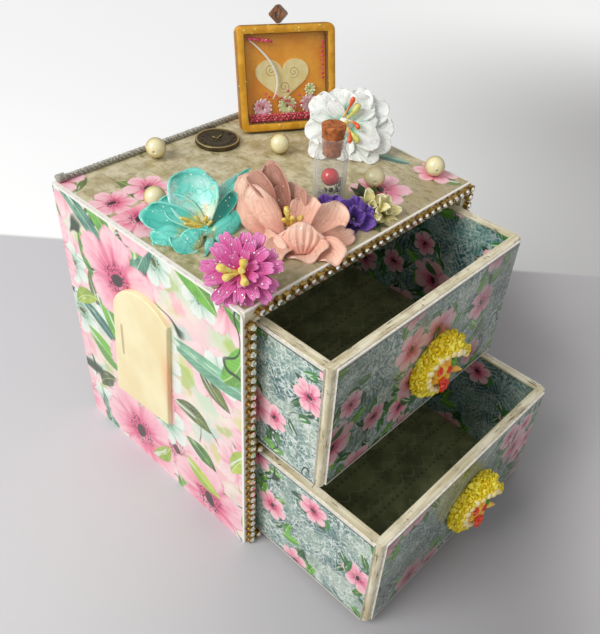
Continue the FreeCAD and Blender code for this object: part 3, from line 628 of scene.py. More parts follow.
class Shell:
    """Gathers surfaces into one mesh, in metres, each with a UV layer and its own chance."""

    def __init__(self):
        self.points, self.faces, self.uvs, self.chances = [], [], [], []

    def face(self, corners, uvs, chance):
        self.faces.append(corners)
        self.uvs.append(uvs)
        self.chances.append(chance)

    def grid(self, rows, thick, chance=0.5):
        """A thin curved sheet through rows of points: a front, a back and a rim, closed."""
        down, across = len(rows), len(rows[0])
        start = len(self.points)
        layers = [[], []]
        for i in range(down):
            for j in range(across):
                along = rows[min(i + 1, down - 1)][j] - rows[max(i - 1, 0)][j]
                over = rows[i][min(j + 1, across - 1)] - rows[i][max(j - 1, 0)]
                lift = along.cross(over).normalized() * (thick / 2)
                layers[0].append(rows[i][j] - lift)
                layers[1].append(rows[i][j] + lift)
        self.points += layers[0] + layers[1]
        back = down * across

        def uv(i, j):
            return (j / (across - 1), i / (down - 1))

        for i in range(down - 1):
            for j in range(across - 1):
                a, b = start + i * across + j, start + i * across + j + 1
                c, d = b + across, a + across
                spot = [uv(i, j), uv(i, j + 1), uv(i + 1, j + 1), uv(i + 1, j)]
                self.face((a, b, c, d), spot, chance)
                self.face((d + back, c + back, b + back, a + back), spot[::-1], chance)
        rim = [(0, j) for j in range(across)] + [(i, across - 1) for i in range(1, down)]
        rim += [(down - 1, j) for j in range(across - 2, -1, -1)] + [(i, 0) for i in range(down - 2, 0, -1)]
        for (i, j), (k, m) in zip(rim, rim[1:] + rim[:1]):
            a, b = start + i * across + j, start + k * across + m
            self.face((b, a, a + back, b + back), [uv(k, m), uv(i, j), uv(i, j), uv(k, m)], chance)

    def rings(self, loops, chance=0.5):
        """A closed skin through loops of as many points each; a loop of one point is a pole."""
        starts = []
        for loop in loops:
            starts.append(len(self.points))
            self.points += loop
        sides = max(len(loop) for loop in loops)
        for i in range(len(loops) - 1):
            low, high = i / (len(loops) - 1), (i + 1) / (len(loops) - 1)
            for j in range(sides):
                k = (j + 1) % sides
                u, w = j / sides, (j + 1) / sides
                if len(loops[i]) == 1:
                    self.face((starts[i], starts[i + 1] + k, starts[i + 1] + j),
                              [(u, low), (w, high), (u, high)], chance)
                elif len(loops[i + 1]) == 1:
                    self.face((starts[i] + j, starts[i] + k, starts[i + 1]),
                              [(u, low), (w, low), (u, high)], chance)
                else:
                    self.face((starts[i] + j, starts[i] + k, starts[i + 1] + k, starts[i + 1] + j),
                              [(u, low), (w, low), (w, high), (u, high)], chance)

    def turned(self, profile, sides, carry, chance=0.5, wave=lambda angle, height: 1):
        """A turned solid from (radius, height) in mm, from pole to pole, carried by a matrix; wave
        makes it less round."""
        loops = []
        for radius, height in profile:
            loops.append([])
            for angle in circle(sides)[:sides if radius else 1]:
                reach = radius * wave(angle, height)
                loops[-1].append(set_on(carry, reach * cos(angle), reach * sin(angle), height))
        self.rings(loops, chance)

    def tube(self, path, radii, sides):
        """A round wire along a path, closed at both ends. radii: one in mm, or one for each spot."""
        loops = [[path[0]]]
        side = None
        for i, spot in enumerate(path):
            ahead = (path[min(i + 1, len(path) - 1)] - path[max(i - 1, 0)]).normalized()
            if side is None:
                side = ahead.orthogonal().normalized()
            side = (side - ahead * side.dot(ahead)).normalized()
            other = ahead.cross(side)
            radius = radii[i] if isinstance(radii, list) else radii
            loops.append([spot + (side * cos(angle) + other * sin(angle)) * radius * mm
                          for angle in circle(sides)])
        loops.append([path[-1]])
        self.rings(loops)

    def ball(self, centre, radius, sides, carry=Matrix(), chance=0.5):
        """A turned ball, its radius in mm; carry may stretch it."""
        profile, last = [], sides // 2
        for i in range(last + 1):
            angle = pi * i / last
            profile.append((0 if i in (0, last) else radius * sin(angle), -radius * cos(angle)))
        self.turned(profile, sides, Matrix.Translation(centre) @ carry, chance)

    def hand_in(self, name, finish, body, slot, *nodes, smooth=True):
        hand_in(self.piece(name, finish, smooth), body, slot, *nodes)

    def piece(self, name, finish, smooth=True):
        """The mesh object, with its UV layers, and with spots that lie together welded."""
        made = mesh_piece(name, self.points, self.faces, smooth)
        spots = made.data.uv_layers.new(name="petal")
        chances = made.data.uv_layers.new(name="chance")
        index = 0
        for spot, chance in zip(self.uvs, self.chances):
            for corner in spot:
                spots.data[index].uv = corner
                chances.data[index].uv = (chance, chance)
                index += 1
        made.data.materials.append(finish)
        seams = bmesh.new()
        seams.from_mesh(made.data)
        bmesh.ops.remove_doubles(seams, verts=seams.verts, dist=1e-7)
        seams.to_mesh(made.data)
        seams.free()
        return made


clay_yellow, at, shader = material("yellow clay", 0.42, Coat_Weight=0.25, Coat_Roughness=0.25)
worm = at.off_middle(0.0030)
yellow = at.noise(0.003, 3.0).rise(0.35, 0.65).over((255, 222, 0), (255, 238, 44))
# Painted highlight: the middles of the ruffles, away from the lines, are painted paler.
yellow = (worm.rise(0.08, 0.16) * 0.4).over(yellow, (255, 248, 130))
# Painted shade: the thin lines between the ruffles are painted dark orange-brown, where shade falls in the
# crevices.
yellow = (worm.fall(0.006, 0.030) * 0.3).over(yellow, (216, 150, 4))
feed(shader, Base_Color=yellow, Normal=at.bump(worm.rise(0.0, 0.08), 0.0006))

clay_bead = mottled("cream clay beads", 0.4, (0.0012, 3.0), (0.4, 0.6), (255, 226, 140), (255, 246, 206),
                    Coat_Weight=0.3)
clay_ochre = mottled("ochre clay", 0.4, (0.0022, 3.0), (0.4, 0.62), (255, 214, 70), (250, 170, 24),
                     (0.0009, 2.0, 0.0002), Coat_Weight=0.25)
clay_red = mottled("red clay", 0.38, (0.0014, 3.0), (0.42, 0.6), (214, 26, 14), (240, 84, 30),
                   (0.0007, 2.0, 0.0002), Coat_Weight=0.3)
clay_green = mottled("green clay", 0.4, (0.0012, 2.0), (0.4, 0.6), (64, 134, 30), (110, 170, 52),
                     Coat_Weight=0.2)


def swell(shape, share):
    """The value at a share of the way through evenly spaced values, eased between them."""
    place = share * (len(shape) - 1)
    index = min(int(place), len(shape) - 2)
    part = place - index
    before, a = shape[max(index - 1, 0)], shape[index]
    b, after = shape[index + 1], shape[min(index + 2, len(shape) - 1)]
    return a + 0.5 * part * (b - before + part * (2 * before - 5 * a + 4 * b - after
                                                  + part * (3 * (a - b) + after - before)))


def squashed(angle, length, width, height):
    """Stretches a ball along a direction in its own plane."""
    return Matrix.Rotation(angle, 4, "Z") @ Matrix.Diagonal((length, width, height, 1))


def knob(drawer, centre):
    """The knob's own X is to the right, Y up the drawer's face and Z out of it, all in mm. Its
    crescent's inner rim, reach and height are given at even steps along its arc."""
    carry = Matrix.Translation(Vector(centre) * mm) @ Matrix.Rotation(radians(90), 4, "X")
    facing_out = carry.to_3x3().to_4x4()
    arc_start, arc_length = 4, 284
    chances = random.Random(5)
    rims = (10.5, 8.0, 7.0, 6.6, 7.2, 7.8, 8.2, 9.0, 10.0)
    reaches = (12.6, 12.8, 10.4, 8.6, 9.3, 11.0, 12.2, 12.6, 12.4)
    heights = (8.6, 8.2, 7.6, 6.4, 5.4, 5.2, 5.3, 5.8, 6.3)
    hump_across = (0.97, 1.0, 0.93, 0.75, 0.5, 0.25, 0.08, 0.0, -0.03, -0.05)
    hump_up = (0.005, 0.3, 0.62, 0.88, 1.0, 1.02, 0.95, 0.7, 0.35, 0.005)

    def on_crescent(share, around, proud):
        """A spot at a share of the arc's length and of the way over its hump."""
        angle = radians(arc_start + arc_length * share)
        near_end = min(1.0, min(share, 1 - share) / 0.05)
        taper = 0.35 + 0.65 * sqrt(1 - (1 - near_end) ** 2)
        rim, outside = swell(rims, share), swell(reaches, share)
        reach = (rim + outside) / 2 + (outside - rim) * taper * (swell(hump_across, around) - 0.5)
        out = swell(hump_up, around) * swell(heights, share) * (0.55 + 0.45 * taper)
        reach += proud * cos(pi * around)
        out = max(0.05, out + proud * sin(pi * around))
        return set_on(carry, reach * cos(angle), reach * sin(angle), out)

    ruffles = Shell()
    loops = [[on_crescent(0, 0.5, -2.0)]]
    steps, spots = 120, 48
    for i in range(steps + 1):
        share = i / steps
        loop = []
        for j in range(spots):
            around = j / (spots - 1)
            folds = abs(sin(share * 46 + 2.2 * sin(around * 9)))
            curls = abs(sin(around * 15 + 1.7 * sin(share * 38)))
            loop.append(on_crescent(share, around, 1.0 * (0.7 * folds + 0.4 * curls - 0.6)
                                    * sin(pi * around) ** 0.3))
        loops.append(loop)
    loops.append([on_crescent(1, 0.5, -2.0)])
    ruffles.rings(loops)
    for count in range(170):
        share, around = chances.uniform(0.03, 0.97), chances.uniform(0.05, 0.62)
        spin = radians(arc_start + arc_length * share) + chances.uniform(-0.6, 0.6)
        ruffles.ball(on_crescent(share, around, -0.05), chances.uniform(0.75, 1.15), 10,
                     facing_out @ squashed(spin, 1.7, 0.85, 0.8))
    ruffles.hand_in(drawer + ".knob_ruffles", clay_yellow, drawer, "yellow_clay",
            drawer + "_knob_crescent")

    beads = Shell()
    for i in range(13):
        share = 0.03 + 0.93 * i / 12
        girth = 1.3 + 0.3 * sin(pi * share) + (0.4 if i == 2 else 0.0)
        beads.ball(on_crescent(share, 0.67, 0.4), girth, 14)
    for around in (0.16, 0.32, 0.48, 0.62):
        beads.ball(on_crescent(0.004, around, 0.35), 1.15, 14)
    for around in (0.24, 0.42, 0.58):
        beads.ball(on_crescent(0.996, around, 0.2), 0.75, 14)
    beads.hand_in(drawer + ".knob_beads", clay_bead, drawer, "yellow_clay")

    boss = Shell()
    boss.turned([(0, 0.05), (5.2, 0.05), (5.4, 3.5), (5.2, 6.0), (4.2, 7.4), (2.2, 7.9), (0, 8.0)], 40, carry,
                wave=lambda angle, height: 1 + 0.07 * sin(5 * angle + height))
    for low, high, thick in (
            ((3.4, -1.6, 6.6), (9.0, -4.6, 8.8), 1.5), ((1.0, -2.4, 6.4), (2.6, -7.4, 6.8), 1.9),
            ((-1.0, 2.4, 7.0), (2.4, 4.6, 6.8), 1.2), ((-3.0, -3.2, 6.0), (-6.0, -4.6, 5.6), 1.5),
            ((-0.6, -3.4, 7.2), (-2.0, -6.4, 6.4), 1.3), ((-3.4, 3.0, 5.6), (-5.0, 4.8, 5.0), 1.2)):
        path = [Vector(low).lerp(Vector(high), i / 6) * mm for i in range(7)]
        boss.tube([carry @ spot for spot in path],
                  [thick * share for share in (0.8, 1.0, 1.0, 0.85, 0.62, 0.4, 0.12)], 10)
    boss.hand_in(drawer + ".knob_boss", clay_ochre, drawer, "red_clay", drawer + "_knob_posy")

    rosettes = Shell()
    for x, y, out, size in ((-3.5, 1.2, 7.2, 1.7), (0.8, 0.3, 8.0, 1.5), (-1.0, -6.2, 8.4, 2.4),
                            (-2.4, -3.4, 8.0, 1.5)):
        for angle in circle(5):
            angle += x
            rosettes.ball(set_on(carry, x + size * 0.6 * cos(angle), y + size * 0.6 * sin(angle), out),
                          size * 0.5, 12, facing_out @ squashed(angle, 1.25, 0.9, 0.7))
        rosettes.ball(set_on(carry, x, y, out + 0.4), size * 0.34, 10)
    rosettes.hand_in(drawer + ".knob_rosettes", clay_red, drawer, "red_clay")

    leaf = Shell()
    for x, y, turn, size in ((2.9, 1.6, 60, 2.3), (4.8, -1.4, -30, 1.1)):
        leaf.ball(set_on(carry, x, y, 7.2), size, 16,
                  facing_out @ squashed(radians(turn), 1.35, 0.66, 0.6))
    leaf.hand_in(drawer + ".knob_leaf", clay_green, drawer, "red_clay")


knob("upper_drawer", (1.5, -81.25, 81.4))
knob("lower_drawer", (1.5, -108.95, 28.5))


# Cup chain: gold-plated brass cups linked in rows, each with a foil-backed crystal. Glued in one row
# along each front edge of the case and along the shelf between the drawers.
gold_plate, at, shader = material("gold plate", 0.28, Metallic=1.0)
feed(shader, Base_Color=at.noise(0.0018, 3.0).rise(0.35, 0.65).over((150, 118, 54), (220, 188, 112)),
     Roughness=at.noise(0.0009, 2.0) * 0.3 + 0.14)
crystal = mottled("foil-backed crystal", 0.06, (0.0007, 2.0), (0.3, 0.7), (236, 228, 206), (255, 254, 250),
                  Metallic=0.85, Coat_Weight=1.0, Coat_Roughness=0.02)


def copies(name, pattern, spots, turns, finish, tilt, seed):
    """Copies of one small pattern mesh at many spots, by Geometry Nodes, as one plain mesh. Each has
    its own turn; tilt adds a chance turn of that many radians at most."""
    holder = mesh_piece(name + " spots", spots, [])
    rows = holder.data.attributes.new("turn", "FLOAT_VECTOR", "POINT")
    for index, turn in enumerate(turns):
        rows.data[index].vector = turn
    tree = bpy.data.node_groups.new(name + " copies", "GeometryNodeTree")
    ids = {}
    for label, kind in (("Spots", "NodeSocketGeometry"), ("Pattern", "NodeSocketObject"),
                        ("Finish", "NodeSocketMaterial"), ("Tilt", "NodeSocketFloat"),
                        ("Seed", "NodeSocketInt")):
        ids[label] = tree.interface.new_socket(name=label, in_out="INPUT", socket_type=kind).identifier
    tree.interface.new_socket(name="Copies", in_out="OUTPUT", socket_type="NodeSocketGeometry")

    def node(kind, **links):
        made = tree.nodes.new(kind)
        for key, value in links.items():
            tree.links.new(value, made.inputs[key])
        return made

    given = tree.nodes.new("NodeGroupInput")
    pattern_info = node("GeometryNodeObjectInfo", Object=given.outputs["Pattern"])
    stored = tree.nodes.new("GeometryNodeInputNamedAttribute")
    stored.data_type = "FLOAT_VECTOR"
    stored.inputs["Name"].default_value = "turn"
    wobble = node("FunctionNodeRandomValue", Seed=given.outputs["Seed"])
    wobble.data_type = "FLOAT_VECTOR"
    wobble.inputs["Min"].default_value = (-1, -1, -1)
    wobble.inputs["Max"].default_value = (1, 1, 1)
    scaled = node("ShaderNodeVectorMath", Vector=wobble.outputs["Value"])
    scaled.operation = "SCALE"
    tree.links.new(given.outputs["Tilt"], scaled.inputs["Scale"])
    summed = node("ShaderNodeVectorMath", Vector=stored.outputs["Attribute"])
    tree.links.new(scaled.outputs[0], summed.inputs[1])
    placed = node("GeometryNodeInstanceOnPoints", Points=given.outputs["Spots"],
                  Instance=pattern_info.outputs["Geometry"], Rotation=summed.outputs[0])
    real = node("GeometryNodeRealizeInstances", Geometry=placed.outputs["Instances"])
    dressed = node("GeometryNodeSetMaterial", Geometry=real.outputs["Geometry"],
                   Material=given.outputs["Finish"])
    node("NodeGroupOutput", Copies=dressed.outputs["Geometry"])
    layer = holder.modifiers.new("copies", "NODES")
    layer.node_group = tree
    layer[ids["Pattern"]] = pattern
    layer[ids["Finish"]] = finish
    layer[ids["Tilt"]] = tilt
    layer[ids["Seed"]] = seed
    ready = holder.evaluated_get(bpy.context.evaluated_depsgraph_get())
    mesh = bpy.data.meshes.new_from_object(ready)
    holder.modifiers.clear()
    bpy.data.objects.remove(holder)
    bpy.data.objects.remove(pattern)
    mesh.materials.clear()
    mesh.materials.append(finish)
    piece = bpy.data.objects.new(name, mesh)
    scene.collection.objects.link(piece)
    return piece


def squared(radius, height, square=0.14, sides=12):
    """A loop between a circle and a square with soft corners; a single spot where radius is 0."""
    loop = []
    for angle in circle(sides, 0.5)[:sides if radius else 1]:
        reach = radius * (1 + square * abs(sin(2 * angle)) ** 2)
        loop.append(Vector((reach * cos(angle), reach * sin(angle), height)) * mm)
    return loop


case_front, case_top, pitch = -51.25, 118.0, 3.6933
cup_spots = [Vector((column, case_front, 1.7 + pitch * index)) * mm
             for column in (-57.4, 58.2) for index in range(31)]
for height, count, first, last in ((116.2, 31, -53.7, 58.2), (54.15, 30, -53.7, 54.5),
                                   (1.7, 30, -53.7, 54.5)):
    for index in range(count):
        cup_spots.append(Vector((first + (last - first) * index / (count - 1), case_front, height)) * mm)
cup_turns = [(pi / 2, 0, 0)] * len(cup_spots)
cup = Shell()
cup.rings([squared(*row) for row in ((0, 0.02), (1.3, 0.02), (1.45, 1.3), (1.52, 1.95), (1.34, 2.0),
                                     (1.28, 1.6), (1.2, 0.9), (0, 0.9))])
for way in (-1, 1):
    cup.tube([Vector((1.1 * way, 0, 0.4)) * mm, Vector((2.05 * way, 0, 0.4)) * mm], 0.3, 6)
    cup.tube([Vector((0, 1.1 * way, 0.4)) * mm, Vector((0, 1.72 * way, 0.4)) * mm], 0.3, 6)
chain = copies("cup_chain", cup.piece("cup", gold_plate, False), cup_spots, cup_turns, gold_plate, 0.05, 3)
hand_in(chain, "case", "gold_metal", "cup_chain_top", "cup_chain_left", "cup_chain_right", "cup_chain_shelf",
        "cup_chain_bottom")
stone = Shell()
stone.rings([squared(*row, 8) for row in ((0, 0.95, 0.12), (1.15, 1.0, 0.12), (1.27, 1.7, 0.12),
                                          (0.8, 2.5, 0.05), (0, 2.52, 0.05))])
stones = copies("chain_crystals", stone.piece("crystal", crystal, False), cup_spots, cup_turns, crystal,
                0.05, 3)
hand_in(stones, "case", "clear_stone", "chain_stones")


# Tablet: a plain arched plate of cast plaster with a short slit, coloured pale yellow with a warm
# front edge. It is glued on the left side with its top leaning forward.
plaster, at, shader = material("pale yellow plaster", 0.5, Coat_Weight=0.15, Coat_Roughness=0.3)
cloud = at.noise(0.02, 3.0)
pale = cloud.rise(0.35, 0.65).over((244, 226, 176), (250, 240, 196))
front_edge = at.y + at.z * -0.05
edge_blush = front_edge.fall(-0.0165, -0.0105) * at.z.fall(0.062, 0.082)
pale = (edge_blush * 0.8).over(pale, (244, 172, 118))
# Painted shade: the slit is drawn as a thin darker line with a small dent, standing for the shade inside it.
slit_across = (at.y - (at.z * -0.078 + 0.0200)).unsigned.fall(0.0002, 0.0009)
slit = slit_across * at.z.rise(0.0575, 0.0600) * at.z.fall(0.0735, 0.0755)
pale = (slit * 0.6).over(pale, (176, 150, 96))
feed(shader, Base_Color=pale, Normal=at.bump(cloud * 0.8 + at.noise(0.003, 3.0) * 0.25 - slit * 0.6, 0.0007))
give("side_tablet", plaster)


# Cord: two strands of silver-grey yarn twisted round each other, bound with the same yarn at both
# ends. It is glued along the top back edge.
yarn, at, shader = material("silver-grey yarn", 0.55, Sheen_Weight=0.3)
fibres = at.vector("MULTIPLY", (1.0, 4.0, 4.0)).noise(0.0012, 3.0)
feed(shader, Base_Color=fibres.rise(0.3, 0.7).over((112, 106, 92), (214, 212, 202)),
     Normal=at.bump(fibres, 0.0002))
cord = Shell()
winds, steps, cord_y = 30, 30 * 14, 49.65
for strand in range(2):
    path = []
    for i in range(steps + 1):
        share = i / steps
        angle = share * winds * 2 * pi + strand * pi
        path.append(Vector((-56.5 + 113.0 * share, cord_y + 0.58 * cos(angle),
                            119.15 + 0.58 * sin(angle))) * mm)
    cord.tube(path, 0.6, 8)
for low, high in ((-58.6, -55.6), (55.6, 58.6)):
    for binding in range(9):
        middle = low + (high - low) * (binding + 0.5) / 9
        path = [Vector((middle + 0.04 * j, cord_y + 1.35 * cos(j * pi / 6),
                        119.5 + 1.35 * sin(j * pi / 6))) * mm for j in range(13)]
        cord.tube(path, 0.26, 6)
    cord.turned([(0, low), (1.2, low), (1.3, (low + high) / 2), (1.2, high), (0, high)], 16,
                Matrix.Translation(Vector((0, cord_y, 119.5)) * mm) @ Matrix.Rotation(pi / 2, 4, "Y"))
cord.hand_in("edge_cord", yarn, "case", "rope", "rear_rope")


# Pearls: five round glass beads with a pearl coat, each drilled through. They are glued on the top
# with their holes lying flat.
pearl_coat, at, shader = material("pearl coat", 0.22, Coat_Weight=1.0, Coat_Roughness=0.06)
# Painted light: the pearls are painted paler where they face the view and darker gold toward their edge. This
# is partly the pearl coat's own shift of colour with angle, partly a painted highlight and shade.
rim = at.put("LayerWeight", {}, {"Blend": 0.35}, 1)
feed(shader, Base_Color=rim.rise(0.05, 0.75).over((252, 243, 196), (178, 148, 48)),
     Normal=at.bump(at.noise(0.002, 2.0), 0.00002))
pearls = Shell()
radius, hole, hole_end = 4.0, 0.35, 3.6
for x, y in ((-42.4, 13.05), (-19.6, 42.55), (19.6, 14.45), (27.5, -28.25), (52.5, -37.95)):
    profile = [(0, -hole_end), (hole, -hole_end)]
    for i in range(25):
        angle = radians(6 + 168 * i / 24)
        profile.append((radius * sin(angle), -radius * cos(angle)))
    profile += [(hole, hole_end), (0, hole_end)]
    pearls.turned(profile, 40, Matrix.Translation(Vector((x, y, case_top + radius)) * mm)
                  @ Matrix.Rotation(radians(90), 4, "Y") @ Matrix.Rotation(x, 4, "X"))
pearls.hand_in("top_pearls", pearl_coat, "case", "pearl", "pearls")


# Charm: a cast bronze watch face with a raised rim, hour bars, two hands and a hanging ring, dark
# with age. It lies flat on the top.
bronze, at, shader = material("dark bronze", 0.42, Metallic=0.85)
wear = at.noise(0.0025, 3.0)
raised = at.z.rise(0.1198, 0.12)
feed(shader, Base_Color=(raised * 0.85 + wear * 0.25).over((50, 44, 40), (208, 184, 128)),
     Roughness=wear * 0.3 + 0.3, Normal=at.bump(at.noise(0.0006, 2.0), 0.00006))
charm = Shell()
charm_place = Matrix.Translation(Vector((6.9, 37.25, case_top + 0.02)) * mm)
charm.turned([(0, 0), (8.7, 0), (9.0, 0.3), (9.0, 1.7), (8.8, 1.98), (8.3, 1.98), (8.0, 1.7), (7.8, 1.55),
              (5.6, 1.5), (5.5, 1.58), (5.3, 1.58), (5.2, 1.5), (0.9, 1.5), (0.7, 1.8), (0, 1.85)],
             64, charm_place)
for hour, angle in enumerate(circle(12)):
    for side in ((-0.28, 0.28) if hour % 3 else (-0.45, 0.0, 0.45)):
        charm.tube([set_on(charm_place, reach * cos(angle) - side * sin(angle),
                           reach * sin(angle) + side * cos(angle), 1.55) for reach in (5.9, 7.4)],
                    0.13, 6)
for angle, reach in ((1.9, 3.4), (0.35, 4.8)):
    charm.tube([set_on(charm_place, 0, 0, 1.7),
                set_on(charm_place, reach * 0.6 * cos(angle), reach * 0.6 * sin(angle), 1.7),
                set_on(charm_place, reach * cos(angle), reach * sin(angle), 1.65)],
               [0.2, 0.3, 0.08], 8)
bail_angle = radians(62)
bail_middle = Vector((10.1 * cos(bail_angle), 10.1 * sin(bail_angle), 0.8))
loops = []
for angle in circle(28):
    outward = Vector((cos(angle), sin(angle), 0))
    loops.append([set_on(charm_place, *(bail_middle + outward * (1.6 + 0.5 * cos(way))
                                        + Vector((0, 0, 0.5 * sin(way))))) for way in circle(10)])
charm.rings(loops + [loops[0]])
charm.hand_in("watch_charm", bronze, "case", "dark_bronze", "clock_charm")


# Framed window: a square frame with clear film in front and a card behind, leaning back on the top.
# Between them a paper heart, scalloped sequins, a curved thread and loose crimson microbeads.
lean, turn = radians(15), radians(-29.7)
across_pane = Vector((cos(turn), sin(turn), 0))
level_back = Vector((-sin(turn), cos(turn), 0))
up_pane = Vector((0, 0, cos(lean))) + level_back * sin(lean)
into_pane = level_back * cos(lean) - Vector((0, 0, sin(lean)))
pane_foot = (Vector((18.2, 35.1, case_top)) + Vector((0, 0, 4.3 * sin(lean)))) * mm
pane_axes = Matrix.Translation(pane_foot) @ Matrix((across_pane, up_pane, -into_pane)).transposed().to_4x4()
pane_middle = 20.5


def in_pane(at):
    """Wires for a spot's place in the pane in metres: across it and up it."""
    moved = at.vector("SUBTRACT", tuple(pane_foot))
    return [moved.vector("DOT_PRODUCT", tuple(axis), out=1) for axis in (across_pane, up_pane)]


def glints(at, size, share):
    """Scattered glitter flakes, 0 or 1."""
    flakes = at.put("TexVoronoi", {}, {"Vector": at, "Scale": 1 / size})
    return flakes.other("Color").x.below(share) * flakes.fall(0.25, 0.4)


mustard, at, shader = material("mustard frame paint", 0.45)
across, up = in_pane(at)
farthest = (across - 0.0205).unsigned.most((up - 0.0205).unsigned)
paint = at.noise(0.004, 4.0).rise(0.35, 0.65).over((216, 152, 28), (240, 178, 50))
paint = (farthest.rise(0.0199, 0.0205) * 0.75).over(paint, (120, 82, 34))
# Painted shadow: the frame's inner edge round the opening is painted dark brown, a painted shadow line.
wavy = at.noise(0.004, 2.0) * 0.0006 + 0.0171
paint = (farthest.below(wavy) * 0.85).over(paint, (92, 54, 20))
flakes = glints(at, 0.0013, 0.14) * at.noise(0.009, 2.0).rise(0.42, 0.56)
paint = flakes.over(paint, (255, 232, 130))
feed(shader, Base_Color=paint, Roughness=0.5 - flakes * 0.3, Metallic=flakes * 0.5,
     Normal=at.bump(flakes * 0.8 + at.noise(0.002, 3.0) * 0.3, 0.0002))


def soft_square(half, corner, out):
    """A loop of a square with rounded corners about the pane's middle, out in front of it."""
    loop = []
    for quarter in range(4):
        for step in range(8):
            angle = pi / 2 * (quarter + step / 7)
            middle_x = (half - corner) * (1 if quarter in (0, 3) else -1)
            middle_y = (half - corner) * (1 if quarter in (0, 1) else -1)
            loop.append(set_on(pane_axes, pane_middle + middle_x + corner * cos(angle),
                               pane_middle + middle_y + corner * sin(angle), out))
    return loop


border = Shell()
loops = [soft_square(20.5, 3.0, -3.5), soft_square(20.5, 3.0, -0.4), soft_square(20.15, 2.8, 0.0),
         soft_square(17.45, 2.2, 0.0), soft_square(17.1, 2.0, -0.35), soft_square(17.1, 2.0, -3.5)]
border.rings(loops + [loops[0]])
border.hand_in("window_border", mustard, "case", "frame_card", "window_frame")

tan_card, at, shader = material("orange-tan card", 0.6)
fibre = at.noise(0.0008, 4.0)
card_tone = at.noise(0.012, 2.0).rise(0.3, 0.7).over((242, 152, 8), (252, 180, 44))
feed(shader, Base_Color=(fibre.rise(0.4, 0.7) * 0.3).over(card_tone, (206, 132, 44)),
     Normal=at.bump(fibre, 0.00006))
give("window_back_card", tan_card)

film, at, shader = material("clear film", 0.04)
glare = at.put("LayerWeight", {}, {"Blend": 0.25}, 0)
feed(shader, Base_Color=at.noise(0.01, 2.0).over((250, 252, 252), (255, 255, 255)),
     Alpha=glare * 0.2 + 0.01)
pane = Shell()
pane.rings([[set_on(pane_axes, pane_middle, pane_middle, -0.8)], soft_square(17.05, 2.0, -0.8),
            soft_square(17.05, 2.0, -0.5), [set_on(pane_axes, pane_middle, pane_middle, -0.5)]])
pane.hand_in("window_clear_film", film, "case", "clear_film", "window_film", smooth=False)

heart_card, at, shader = material("cream heart card", 0.6)
across, up = in_pane(at)
printed = at.noise(0.003, 2.0).rise(0.35, 0.65).over((240, 222, 150), (248, 234, 176))
for middle_x, middle_y, sense in ((0.0238, 0.0226, 1.0), (0.0142, 0.0238, -1.0), (0.0196, 0.0170, 1.0)):
    dx, dy = (across - middle_x) * sense, up - middle_y
    reach = (dx * dx + dy * dy).root
    spiral = (dy.math("ARCTAN2", dx) * 0.159 + reach * 760.0).fraction
    line = (spiral - 0.5).unsigned.fall(0.07, 0.13) * reach.fall(0.0022, 0.0026)
    printed = (line * 0.8).over(printed, (150, 110, 56))
feed(shader, Base_Color=printed)
outline = []
for angle in circle(72):
    outline.append((19.0 + 11.2 * sin(angle) ** 3,
                    20.6 + 0.60 * (13 * cos(angle) - 5 * cos(2 * angle) - 2 * cos(3 * angle)
                                   - cos(4 * angle))))
cut_heart = Shell()
cut_heart.rings([[set_on(pane_axes, x, y, out) for x, y in loop]
                 for loop, out in (([(20.0, 20.5)], -3.48), (outline[::-1], -3.48),
                                   (outline[::-1], -2.9), ([(20.0, 20.5)], -2.9))])
cut_heart.hand_in("window_paper_heart", heart_card, "case", "cream_card", "window_heart", smooth=False)

sequin_gloss, at, shader = material("pearly sequin", 0.2, Coat_Weight=0.8, Metallic=0.15)
pick = at.put("UVMap", {"uv_map": "chance"}, {})
rainbow = at.noise(0.0012, 2.0).rise(0.35, 0.65)
pink = rainbow.over((240, 166, 190), (254, 230, 238))
lime = rainbow.over((206, 232, 140), (244, 250, 206))
feed(shader, Base_Color=pick.x.above(0.5).over(pink, lime))
sequins, sequin_rims = Shell(), Shell()
for across, up, size, lobes, chance in ((10.1, 9.0, 4.1, 13, 0.1), (20.6, 9.4, 4.1, 13, 0.9),
                                        (30.0, 9.8, 3.9, 12, 0.2), (30.6, 15.6, 2.3, 9, 0.9)):
    loops = []
    for share, out, depth in ((0.14, -2.8, 0), (0.55, -2.85, 0), (0.84, -2.7, 0.17), (0.84, -2.55, 0.17),
                              (0.55, -2.6, 0), (0.14, -2.55, 0), (0.14, -2.8, 0)):
        loops.append([])
        for angle in circle(72):
            reach = size * share * (1 + depth * abs(sin(lobes * angle / 2)))
            loops[-1].append(set_on(pane_axes, across + reach * cos(angle), up + reach * sin(angle), out))
    sequins.rings(loops, chance)
    for angle in circle(lobes, 0.5):
        sequin_rims.ball(set_on(pane_axes, across + size * 0.9 * cos(angle),
                                up + size * 0.9 * sin(angle), -2.5), 0.46, 8)
sequins.hand_in("window_scalloped_sequins", sequin_gloss, "case", "sequin", "window_sequins")
pale_bead = mottled("pale gold beads", 0.1, (0.0008, 2.0), (0.4, 0.6), (238, 220, 178), (255, 252, 240),
                    Coat_Weight=1.0)
sequin_rims.hand_in("window_sequin_rim_beads", pale_bead, "case", "sequin")

